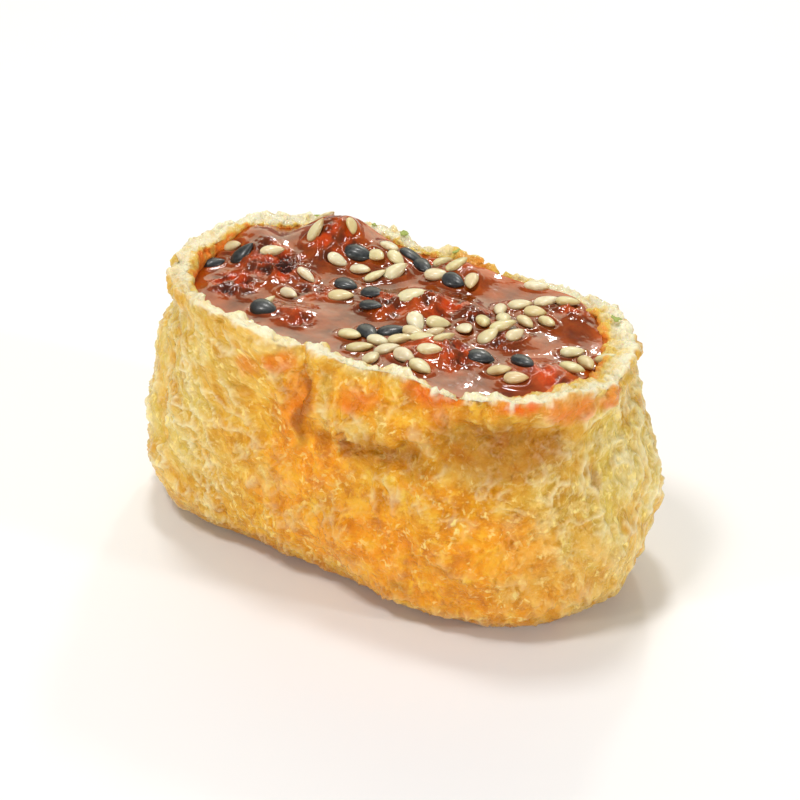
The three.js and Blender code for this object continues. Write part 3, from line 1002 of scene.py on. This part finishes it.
def skin_shade(p, place, height, drift, sway, pale):
    """How shaded and brown the skin is, 0 to 1: painted shade low down by the base and in
    the creases, and the brown patches, which are partly painted shadow under the fold.
    """
    crease = crease_depth(p, place.along + 0.4 * drift, height)
    # Painted shade, darker towards the base.
    low = 1 - ramp(height + 0.4 * drift, 0.4, 5.0)
    brown = patches(p, place.along + drift, height + sway * 0.6, SHADE_AND_BROWN_PATCHES)
    # Painted shade in the creases.
    crease_shade = 0.6 * ramp(crease, 0.55, 1.25) * ramp(height, 18, 24) * (1 - 0.8 * pale)
    return np.max([0.62 * low * (1 - 0.55 * pale), brown, crease_shade], axis=0)


def soaked_cut(p, place, height, part_in, ragged, drift):
    """How far sauce has soaked into the cut edge, 0 to 1: its inner side, less at the
    front, and all of it where the sauce ran over at the back."""
    hidden = np.maximum(np.sin(place.angle), np.maximum(facing(place, 1), 0.7 * facing(place, -1)))
    start = mix(0.62, 0.25, facing(place, 1))
    soaked = ramp(part_in + 0.16 * ragged, start, 1.0) * mix(0.35, 1.0, ramp(hidden, -0.2, 0.6))
    spill = bell((wrapped(p, place.along - 90) + drift) / 7) * ramp(part_in + 0.1 * ragged, 0.0, 0.3)
    return np.maximum(soaked, 0.85 * spill * (height > p.lip_height / 2))


def make_pouch(p):
    """The pouch as one closed skin: smooth rings, pushed along their outward direction by
    the relief, with its tones and forms stored on the vertices."""
    place = outline(p, *POUCH_STEPS)
    height, inset = pouch_levels(p, place)
    rings = wall_points(p, place, height, inset) + set_over(p)
    part_in = inset / wall_thickness(p, place)
    outer = np.clip(1 - part_in, 0, 1)
    top = lip_height(p, place) - p.lip_rounding
    ragged = layered(rings / 1.3, 3, 27)
    lip_part = ramp(height, top - 1.6, top - 0.2)
    pattern = weave(p, place, rings, height)
    rise = ramp(height, 0.2, p.flat_band)
    amount, wrinkle = skin_relief(p, place, rings, pattern, height, lip_part, outer)
    points = rings + grid_normals(rings) * (rise * amount)[..., None]

    drift = 2.0 * noise(rings / 5, 31) + 0.8 * noise(rings / 2, 32)
    sway = 1.6 * noise(rings / 4, 34) + 0.8 * noise(rings / 1.8, 35)
    tones = skin_tones(p, place, height, drift, sway)
    shade = skin_shade(p, place, height, drift, sway, tones[1])
    cut = ramp(part_in + 0.07 * ragged, 0.04, 0.14) * ramp(height, top - 4.5, top - 2.5)
    cut *= 1 - 0.4 * bell((wrapped(p, place.along + 32) + drift) / 13) * ramp(-part_in, -0.9, -0.1)
    soaked = soaked_cut(p, place, height, part_in, ragged, drift)
    # The form attribute carries the wrinkle crests, which the material partly paints as highlight, and the
    # painted shade.
    attributes = {
        "weave": np.concatenate([pattern, np.ones_like(height)[..., None]], axis=-1),
        "tone": packed(*(tone * outer for tone in tones)),
        "form": packed(wrinkle * outer * (1 - lip_part), shade * outer, cut, soaked),
    }
    faces = ring_faces(*height.shape)
    piece = make_piece("fried_tofu_pouch", points.reshape(-1, 3), faces, attributes, tofu_material(p))
    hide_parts("tofu_pouch")
    return piece


# ---------------------------------------------------------------- filling

# Chopped fish under the sauce: middle [x, y], half sizes, turn in degrees and height
# above the sauce. The first ones lean on the back wall.
LUMPS = (
    ((-15.6, 9.6), (4.2, 3.8), 35, 4.2),
    ((-24.0, 3.4), (4.6, 3.6), -25, 2.5),
    ((-20.0, 7.8), (2.6, 2.4), 10, 1.3),
    ((-18.6, -1.6), (3.8, 3.2), 20, 1.5),
    ((-8.6, 9.4), (4.0, 2.8), -20, 1.7),
    ((-20.0, -7.4), (3.4, 2.6), 10, 0.8),
    ((-9.4, -8.0), (3.2, 1.8), 10, 0.8),
    ((-0.4, -0.4), (3.0, 2.6), 15, 1.2),
    ((3.6, 2.6), (2.8, 2.6), 15, 1.7),
    ((3.0, 11.0), (3.6, 2.4), 0, 1.5),
    ((8.8, 4.0), (3.4, 2.0), -35, 1.0),
    ((11.2, -6.6), (3.8, 3.0), 30, 1.5),
    ((16.4, 1.2), (3.2, 2.2), -10, 0.9),
    ((24.4, -3.4), (3.4, 2.6), 40, 1.5),
    ((20.0, 10.4), (3.4, 2.0), -30, 0.8),
)
# Places where the sauce is crinkled by minced pieces: middle, reach, strength.
MINCED = (
    ((-19.0, 0.0), (4.6, 3.6), 1.0),
    ((-14.2, 7.0), (3.2, 2.6), 0.8),
    ((-20.5, -6.5), (3.4, 3.0), 0.9),
    ((-10.5, -2.0), (2.6, 2.0), 0.8),
    ((-8.4, -9.4), (2.8, 1.8), 0.7),
    ((-1.0, -0.6), (3.6, 3.0), 0.9),
    ((4.0, 2.2), (4.0, 2.6), 0.9),
    ((9.6, 3.6), (3.6, 1.8), 0.8),
    ((12.4, -6.6), (4.0, 2.8), 0.9),
    ((9.4, -9.6), (3.0, 1.8), 0.8),
    ((16.8, 0.0), (2.4, 1.8), 0.6),
    ((25.6, -3.4), (2.8, 2.0), 0.6),
    ((0.6, 12.4), (4.0, 1.8), 0.8),
    ((20.4, 11.0), (4.0, 1.6), 0.5),
)

# Pools of thin red oil and places where the fish is bare: middle, reach, strength.
OIL_POOLS = (((3.0, 13.0), (7.0, 1.8), 1.0), ((29.0, 2.0), (2.6, 8.0), 0.8))
BARE_FISH = (
    ((25.0, -3.4), (4.2, 2.8), 1.0),
    ((11.0, -8.6), (4.6, 2.4), 0.8),
    ((-9.0, -9.0), (3.0, 2.0), 0.6),
)
# An inset that squeezes a ring to its spine, and the filling's rings.
FAR_INSIDE = 99.0
TOP_RINGS, SIDE_RINGS = 116, 12
# Ovals are a little square: 2 would be an ellipse.
OVAL_POWER = 2.6
# Lumps that meet are summed as this power of their heights, so the joints stay smooth.
LUMP_POWER = 2.2
# Size in millimetres of the minced pieces.
MINCED_SIZE = 2.4


def oval_distance(x, y, at, reach, degrees=0.0):
    """Distance from an oval's middle in its own turned frame, 1 on its outline."""
    along, across = spin(x - at[0], y - at[1], -np.radians(degrees))
    squared = np.abs(along / reach[0]) ** OVAL_POWER + np.abs(across / reach[1]) ** OVAL_POWER
    return squared ** (1 / OVAL_POWER)


def sauce_height(f, x, y):
    """Height of the sauced top: level sauce, and blocks of fish with rounded shoulders
    that stand out of it."""
    lumps = 0
    for at, reach, turn, height in LUMPS:
        away = oval_distance(x, y, at, reach, turn)
        lumps = lumps + (height * bell(away * 0.92) ** 0.9) ** LUMP_POWER
    level = f.sauce_level + f.tilt * y - f.end_drop * ramp(x, 17, 29)
    return level + lumps ** (1 / LUMP_POWER)


def mince_strength(x, y):
    """How minced the top is at each place, 0 to 1."""
    layers = [s * ramp(-oval_distance(x, y, at, reach), -1.3, -0.5) for at, reach, s in MINCED]
    return np.max(layers, axis=0)


def soft_spots(x, y, table):
    """The strongest of several bell-edged ovals at each place, 0 to 1."""
    return np.max([s * bell(oval_distance(x, y, at, reach)) for at, reach, s in table], axis=0)


def mince_relief(f, x, y, strength):
    """Pits and crinkled rims between the minced pieces: cells whose middles sink and
    whose borders stand sharp, with finer crinkles on them."""
    flat = np.stack([x, y, 0 * x], axis=-1)
    points = curled(flat / MINCED_SIZE, 0.4, 41)
    nearest, second = cells(points, 44)
    rim = (1 - ramp(second - nearest, 0.0, 0.34)) ** 1.5
    pit = 1 - ramp(nearest, 0.1, 0.7)
    crinkle = ridges(curled(flat / 1.0, 0.6, 47), 2.4, 51)
    fine = ridges(curled(flat / 0.55, 0.5, 57), 1.8, 59)
    return f.mince * strength * (0.5 * rim - 1.3 * pit + 0.35 * crinkle + 0.16 * fine), pit


def meniscus(f, t, x, y):
    """The sauce drawn up round each seed: a low ring just outside the seed's outline."""
    lift = np.zeros_like(x)
    for at_x, at_y, heading, _ in [*white_spots(t), *BLACK]:
        away = oval_distance(x, y, (at_x, at_y), (t.seed_length / 2, t.seed_width / 2), heading)
        lift = np.maximum(lift, bell((away - 1.15) / 0.22))
    return f.meniscus * lift


def make_filling(p, f, t):
    """The filling as one closed skin: up the pouch's inner wall, then in over the sauced
    top on rings that shrink to the spine."""
    place = outline(p, *FILLING_STEPS)
    inset = wall_thickness(p, place) - f.into_wall
    shift = set_over(p)
    edge = wall_points(p, place, f.sauce_level + 0 * place.along, inset)
    spine = wall_points(p, place, f.sauce_level + 0 * place.along, FAR_INSIDE)
    part = np.linspace(0, 1, TOP_RINGS)[:, None, None]
    top = mix(edge, spine, part)
    x, y = top[..., 0], top[..., 1]
    flat = np.stack([x, y, 0 * x], axis=-1)
    strength = mince_strength(x + 0.5 * noise(flat / 2, 38), y + 0.5 * noise(flat / 2, 39))
    relief, pit = mince_relief(f, x, y, strength)
    rise = f.edge_rise * (1 - part[..., 0]) ** 5 * (1 - facing(place, 1))
    ripple = 0.07 * noise(flat / 2.6, 36) + 0.12 * noise(flat / 6, 37)
    smooth_height = sauce_height(f, x, y)
    inward = ramp(part[..., 0], 0.0, 0.12)
    relief = (relief + meniscus(f, t, x, y)) * inward
    top = np.stack([x, y, smooth_height + rise + relief + ripple], axis=-1)
    bottom = p.floor + 0.3
    side_parts = np.linspace(0, 1, SIDE_RINGS)[:-1] ** 1.6
    sides = np.stack([wall_points(p, place, mix(bottom, top[0, :, 2], s), inset) for s in side_parts])
    floor = wall_points(p, place, bottom + 0 * place.along, FAR_INSIDE)[None]
    rings = np.concatenate([floor, sides, top]) + shift

    stand = smooth_height - f.sauce_level - f.tilt * y
    by_wall = 0.6 * (1 - ramp(part[..., 0], 0.0, 0.16))
    on_lumps = 0.35 * ramp(stand, 0.6, 2.4) * ramp(y, 6, 12)
    thin = np.maximum(np.maximum(by_wall, on_lumps), soft_spots(x, y, OIL_POOLS))
    # Painted shade in the pits of the minced zones, which the material turns to shade and glow.
    deep = strength * np.clip(1.2 * pit + 0.35, 0, 1)
    pad = [(len(sides) + 1, 0), (0, 0)]
    mince = packed(np.pad(thin, pad), np.pad(soft_spots(x, y, BARE_FISH), pad), np.pad(deep, pad))
    faces = ring_faces(*rings.shape[:2])
    points = rings.reshape(-1, 3)
    piece = make_piece("sauced_fish_filling", points, faces, {"mince": mince}, sauce_material(f))
    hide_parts("filling")
    return piece


# ---------------------------------------------------------------- seeds and flakes

# White seeds that lie alone: middle [x, y], heading in degrees, and stand, how far the
# pointed end is tipped up.
LONE_WHITE = (
    (-13.4, 9.6, -40, 10), (-19.3, 11.0, 20, 20), (-8.0, 10.6, -25, 5), (-17.4, 6.9, 60, 15),
    (-26.2, 0.2, 15, 5), (-20.4, 1.3, 40, 15), (-13.8, 0.2, -15, 0), (-12.9, -4.6, -10, 0),
    (-13.6, -8.4, 70, 10), (-7.1, -1.4, 20, 5), (-12.4, 5.0, 0, -5), (1.8, 1.6, 35, 0),
    (12.6, 13.9, 10, 5), (18.4, 12.0, 15, 5), (-0.2, -8.6, 0, 0), (5.6, 9.6, -60, 10),
)
# White seeds that lie in heaps: middle [x, y], reach and count.
WHITE_HEAPS = (
    ((-6.6, 7.6), 3.0, 5),
    ((0.6, 10.8), 2.6, 3),
    ((15.0, 8.0), 3.0, 6),
    ((14.2, 1.8), 3.0, 6),
    ((4.6, -8.2), 2.4, 5),
    ((7.4, -4.0), 2.6, 6),
    ((10.6, -10.8), 2.4, 4),
    ((21.6, -6.6), 1.8, 2),
    ((26.2, 2.6), 2.2, 4),
)
# Black seeds, given as the lone white ones are.
BLACK = (
    (-26.4, -3.6, 50, 0), (-23.6, -1.0, 65, 15), (-13.0, -9.6, 10, 0), (-10.6, 7.2, 5, 0),
    (-8.3, 1.4, 0, 0), (-3.7, 0.8, -10, 0), (-1.6, -2.4, 5, 0), (1.4, -7.0, -30, 0),
    (3.8, -5.4, 35, 5), (-5.0, 11.4, -10, 0), (-2.6, 10.4, -25, 0), (3.4, 8.6, -8, 5),
    (16.6, -4.8, 8, 5), (21.6, -3.2, -20, 0),
)
# Green flakes on the lip: distance round the belly from the middle of the front.
FLAKES = (-84.0, -78.5, -75.5, -69.0, 62.0, 96.0, 141.0)

# Steps round and along a seed and a flake.
SEED_AROUND, SEED_LEVELS = 16, 13
FLAKE_AROUND = 9
# A flake's rings, from its top over its rim and in below: distance out and height.
FLAKE_RINGS = ((0.0, 0.175), (0.6, 0.175), (1.0, 0.1225), (1.0, 0.035), (0.6, 0.07), (0.0, 0.07))
# How far from a seed's middle the slope of the sauce is felt, in millimetres.
SLOPE_REACH = 0.8
# How unevenly the seeds lie: spread of the tip and the roll in degrees, and of the sizes.
TIP_SPREAD, ROLL_SPREAD, SIZE_SPREAD, THICKNESS_SPREAD = 5, 12, 0.07, 0.1
# Heaped seeds are pushed apart in rounds, by a part of what their middles lack of a
# spacing in widths. They start on a spiral that turns by the golden angle, in radians.
PUSH_ROUNDS, PUSH_PART, SEED_SPACING = 30, 0.25, 1.35
GOLDEN_TURN = 2.4


def seed_rings(t):
    """One seed along X, pointed at +X: its half width swells as the root of the distance
    from the blunt end and falls to the tip, and its section is a flat oval."""
    along = (1 - np.cos(np.linspace(0, np.pi, SEED_LEVELS))) / 2
    swell = along**0.5 * (1 - along) ** 0.84
    swell = swell / swell.max()
    turn = angles_round(SEED_AROUND)
    x = (along - 0.45)[:, None] * t.seed_length + 0 * turn
    y = 0.5 * t.seed_width * swell[:, None] * np.cos(turn)
    z = 0.5 * t.seed_thickness * (swell[:, None] ** 0.8) * np.sin(turn)
    return np.stack([x, y, z], axis=-1), along


def lay_seeds(f, t, shift, spots, seed, scale=1.0):
    """Seeds laid on the sauce: each is turned to its heading, tipped with the sauce's
    slope and its own stand, and set a little into the sauce, on top of earlier ones."""
    rng = np.random.default_rng(seed)
    rings, along = seed_rings(t)
    placed, points = [], []
    for x, y, heading, stand in spots:
        around_x = x + np.array([0, 1, -1, 0, 0]) * SLOPE_REACH
        around_y = y + np.array([0, 0, 0, 1, -1]) * SLOPE_REACH
        heights = sauce_height(f, around_x, around_y)
        slope = Vector((heights[2] - heights[1], heights[4] - heights[3], 2 * SLOPE_REACH)).normalized()
        turn = np.radians(heading)
        ahead = Vector((np.cos(turn), np.sin(turn), 0))
        side = slope.cross(ahead).normalized()
        ahead = side.cross(slope)
        tip = np.radians(stand + rng.normal(0, TIP_SPREAD))
        ahead, slope = spin(ahead, slope, -tip)
        roll = np.radians(rng.normal(0, ROLL_SPREAD))
        side, slope = spin(side, slope, -roll)
        under = sum(np.hypot(px - x, py - y) < 0.8 * t.seed_width for px, py in placed)
        height = heights[0] + (0.3 + 0.5 * under) * t.seed_thickness
        whole, width, thickness = rng.normal(1.0, (SIZE_SPREAD, SIZE_SPREAD, THICKNESS_SPREAD))
        size = scale * whole * np.array([1.0, width, thickness])
        axes = np.array([ahead, side, slope])
        points.append((rings * size) @ axes + [x, y, height] + shift)
        placed.append((x, y))
    return np.array(points), along, rng


def seeds_piece(name, points, along, tints, toasts, material):
    """All the seeds of one kind joined as one piece, each closed at its two ends."""
    shape = points.shape[:3]
    tip = np.broadcast_to(ramp(along, 0.84, 0.98)[None, :, None], shape)
    # Painted shade round each seed's edge, where its sides turn away; the seed attribute's fourth channel.
    edge = np.broadcast_to(bell(np.sin(angles_round(shape[2])) / 0.45)[None, None], shape)
    tint = np.broadcast_to(tints[:, None, None], shape)
    toast = np.broadcast_to(toasts[:, None, None], shape)
    marks = {"seed": packed(tip, tint, toast, edge)}
    piece = make_piece(name, points.reshape(-1, 3), ring_faces(*shape), marks, material)
    return piece


def white_spots(t):
    """Spots of all the white seeds: the lone ones, and a sunflower spiral in each heap.
    The heaped ones are then pushed apart, from each other and from every other seed,
    until most lie side by side."""
    rng = np.random.default_rng(t.seed_shuffle)
    spots = []
    for (x, y), reach, count in WHITE_HEAPS:
        for i in range(count):
            turn = GOLDEN_TURN * i + rng.uniform(0, 0.8)
            away = reach * np.sqrt((i + 0.4) / count)
            heading = rng.uniform(-60, 80)
            at = (x + away * np.cos(turn), y + 0.8 * away * np.sin(turn))
            spots.append((*at, heading, rng.uniform(-6, 14)))
    heaped = np.array(spots)
    fixed = np.array([*LONE_WHITE, *BLACK])[:, :2]
    for _ in range(PUSH_ROUNDS):
        everyone = np.concatenate([heaped[:, :2], fixed])
        apart = heaped[:, None, :2] - everyone[None]
        away = np.linalg.norm(apart, axis=-1)
        push = np.where(away > 1e-6, np.clip(SEED_SPACING * t.seed_width - away, 0, None), 0)
        steps = apart / np.maximum(away, 1e-6)[..., None] * push[..., None]
        heaped[:, :2] += PUSH_PART * np.sum(steps, axis=1)
    return [*LONE_WHITE, *heaped.tolist()]


def make_white_seeds(p, f, t):
    """The white sesame seeds, lone ones and heaps."""
    spots = white_spots(t)
    points, along, rng = lay_seeds(f, t, set_over(p), spots, t.seed_shuffle + 1)
    tints = rng.random(len(spots)) ** 1.5
    toasts = rng.random(len(spots)) ** 2.5
    material = white_seed_material(t)
    return seeds_piece("white_sesame_seeds", points, along, tints, toasts, material)


def make_black_seeds(p, f, t):
    """The black sesame seeds."""
    points, along, rng = lay_seeds(f, t, set_over(p), BLACK, t.seed_shuffle + 2, t.black_size)
    tints = rng.random(len(BLACK))
    material = black_seed_material(t)
    return seeds_piece("black_sesame_seeds", points, along, tints, 0 * tints, material)


def make_flakes(p, t):
    """Green flakes on the lip: small ragged leaves, each a few rings from the top over
    the rim and in below, with its own turn and size."""
    rng = np.random.default_rng(t.seed_shuffle + 3)
    turn = angles_round(FLAKE_AROUND)
    profile, lift = np.array(FLAKE_RINGS).T
    all_points = []
    for spot in FLAKES:
        place = single_place(p, spot)
        lip = lip_height(p, place)
        middle = wall_points(p, place, lip, 0.45 * wall_thickness(p, place))[0] + set_over(p)
        ragged = 1 + 0.45 * rng.normal(size=FLAKE_AROUND)
        size = t.flake_size * rng.uniform(0.35, 0.6)
        x = profile[:, None] * ragged * np.cos(turn) * size * 1.3
        y = profile[:, None] * ragged * np.sin(turn) * size * 0.8
        z = lift[:, None] + 0 * turn
        spun = np.stack([*spin(x, y, rng.uniform(0, np.pi)), z], axis=-1)
        all_points.append((spun + middle + [0, 0, 0.05])[::-1])
    points = np.array(all_points)
    faces = ring_faces(*points.shape[:3])
    piece = make_piece("green_seaweed_flakes", points.reshape(-1, 3), faces, {}, flake_material(t))
    return piece


def single_place(p, along):
    """The place on the outline at one distance round from the front's middle, as arrays
    of one."""
    half, end = p.belly_spine_half, np.pi * p.belly_radius
    side = np.sign(along) or 1.0
    away = abs(along)
    spine = side * np.interp(away, [0, half, half + end, 2 * half + end], [0, 1, 1, 0])
    turn = np.clip((away - half) / p.belly_radius, 0, np.pi) - np.pi / 2
    angle = turn if side > 0 else np.pi - turn
    return SimpleNamespace(spine=np.array([spine]), angle=np.array([angle]), along=np.array([along]))


# ---------------------------------------------------------------- stage

WARM = (1.0, 0.98, 0.95)
# Lights: name, place and size in metres, power in watts, tint.
LIGHTS = (
    ("back_softbox", (-0.32, 0.5, 0.42), (0.75, 0.4), 1.4, (1.0, 0.98, 0.72)),
    ("back_glint", (-0.2, 0.5, 0.46), (0.05, 0.05), 0.6, WARM),
    ("over_back", (-0.12, 0.12, 0.65), (0.1, 0.1), 1.3, WARM),
    ("top_key", (-0.1, -0.25, 0.65), (0.12, 0.12), 1.7, WARM),
    ("front_left", (-0.3, -0.6, 0.13), (0.05, 0.05), 1.2, WARM),
    ("front_right", (0.4, -0.6, 0.12), (0.05, 0.05), 1.1, WARM),
    ("right_card", (0.6, 0.1, 0.18), (0.05, 0.05), 1.3, WARM),
)
LIGHTS_AIM = (0, 0, 0.02)
ROOM_TINT = (1.0, 0.99, 0.97, 1)
# Half the floor's side and the camera's nearest and farthest sight, in metres, and the
# sensor's width in millimetres.
FLOOR_HALF = 3.0
CLIP = (0.01, 20)
SENSOR_WIDTH = 36


def area_light(name, place, size, power, tint):
    """A rectangular softbox that faces the middle of the pouch."""
    data = bpy.data.lights.new(name, "AREA")
    data.shape = "RECTANGLE"
    data.size, data.size_y = size
    data.energy = power
    data.color = tint
    light = bpy.data.objects.new(name, data)
    light.location = place
    light.rotation_mode = "QUATERNION"
    light.rotation_quaternion = (Vector(LIGHTS_AIM) - Vector(place)).to_track_quat("-Z", "Y")
    bpy.context.scene.collection.objects.link(light)


def make_floor(g):
    """A plain pale floor, one square."""
    mesh = bpy.data.meshes.new("floor")
    corners = [(x * FLOOR_HALF, y * FLOOR_HALF, 0) for x, y in ((-1, -1), (1, -1), (1, 1), (-1, 1))]
    mesh.from_pydata(corners, [], [(0, 1, 2, 3)])
    material, tree, shader = new_material("matt_white_board")
    set_up(tree, shader, {"Base Color": g.floor_colour, "Roughness": 0.7})
    mesh.materials.append(material)
    floor = bpy.data.objects.new("floor", mesh)
    bpy.context.scene.collection.objects.link(floor)


def make_room_light(g):
    """Soft light from all round."""
    world = bpy.data.worlds.new("soft_room")
    world.use_nodes = True
    background = world.node_tree.nodes["Background"]
    background.inputs["Color"].default_value = ROOM_TINT
    background.inputs["Strength"].default_value = g.room_light
    bpy.context.scene.world = world


def make_camera(g):
    """The camera, turned to its aim."""
    camera = bpy.data.cameras.new("camera")
    camera.lens = g.lens
    camera.sensor_width = SENSOR_WIDTH
    camera.clip_start, camera.clip_end = CLIP
    viewer = bpy.data.objects.new("camera", camera)
    place = Vector((g.camera_x, g.camera_y, g.camera_z)) * MM
    aim = Vector((g.aim_x, g.aim_y, g.aim_z)) * MM
    viewer.location = place
    viewer.rotation_mode = "QUATERNION"
    viewer.rotation_quaternion = (aim - place).to_track_quat("-Z", "Y")
    bpy.context.scene.collection.objects.link(viewer)
    bpy.context.scene.camera = viewer


def make_stage(g):
    """The floor, the light all round, softboxes above, behind and in front, the camera."""
    make_floor(g)
    make_room_light(g)
    for light in LIGHTS:
        area_light(*light)
    bpy.context.scene.view_settings.view_transform = "Standard"
    make_camera(g)


# ---------------------------------------------------------------- add-on


def settings(context):
    """The four groups of settings with lengths in millimetres."""
    return [in_millimetres(getattr(context.scene, name)) for name in SETTINGS]


class INARI_OT_pouch(bpy.types.Operator):
    """Make the fried tofu pouch"""

    bl_idname = "inari.pouch"
    bl_label = "Tofu pouch"

    def execute(self, context):
        pouch, _, _, _ = settings(context)
        make_pouch(pouch)
        return {"FINISHED"}


class INARI_OT_filling(bpy.types.Operator):
    """Make the sauced fish filling"""

    bl_idname = "inari.filling"
    bl_label = "Filling"

    def execute(self, context):
        pouch, filling, topping, _ = settings(context)
        make_filling(pouch, filling, topping)
        return {"FINISHED"}


class INARI_OT_seeds(bpy.types.Operator):
    """Scatter the white and the black sesame seeds"""

    bl_idname = "inari.seeds"
    bl_label = "Sesame seeds"

    def execute(self, context):
        pouch, filling, topping, _ = settings(context)
        make_white_seeds(pouch, filling, topping)
        make_black_seeds(pouch, filling, topping)
        return {"FINISHED"}


class INARI_OT_flakes(bpy.types.Operator):
    """Drop the green seaweed flakes on the lip"""

    bl_idname = "inari.flakes"
    bl_label = "Seaweed flakes"

    def execute(self, context):
        pouch, _, topping, _ = settings(context)
        make_flakes(pouch, topping)
        return {"FINISHED"}


class INARI_OT_stage(bpy.types.Operator):
    """Set up the floor, the lights and the camera"""

    bl_idname = "inari.stage"
    bl_label = "Stage"

    def execute(self, context):
        make_stage(settings(context)[3])
        return {"FINISHED"}


class INARI_PT_panel(bpy.types.Panel):
    """Buttons for each piece, with its sizes and colours below it"""

    bl_label = "Inari sushi"
    bl_idname = "INARI_PT_panel"
    bl_space_type = "VIEW_3D"
    bl_region_type = "UI"
    bl_category = "Inari"

    def draw(self, context):
        for operator in OPERATORS:
            self.layout.operator(operator.bl_idname)
        for name, group in SETTINGS.items():
            column = self.layout.column(align=True)
            column.label(text=group.__doc__.split(":")[0].split(".")[0])
            for field in group.__annotations__:
                column.prop(getattr(context.scene, name), field)


OPERATORS = (INARI_OT_pouch, INARI_OT_filling, INARI_OT_seeds, INARI_OT_flakes, INARI_OT_stage)


def register():
    """Registers the settings, the operators and the panel."""
    for kind in (*SETTINGS.values(), *OPERATORS, INARI_PT_panel):
        bpy.utils.register_class(kind)
    for name, group in SETTINGS.items():
        setattr(bpy.types.Scene, name, PointerProperty(type=group))


def unregister():
    """Takes back what register made."""
    for name in SETTINGS:
        delattr(bpy.types.Scene, name)
    for kind in (INARI_PT_panel, *reversed(OPERATORS), *reversed(SETTINGS.values())):
        bpy.utils.unregister_class(kind)


def main():
    register()
    for operator in OPERATORS:
        group, name = operator.bl_idname.split(".")
        getattr(getattr(bpy.ops, group), name)()


if __name__ == "__main__":
    main()
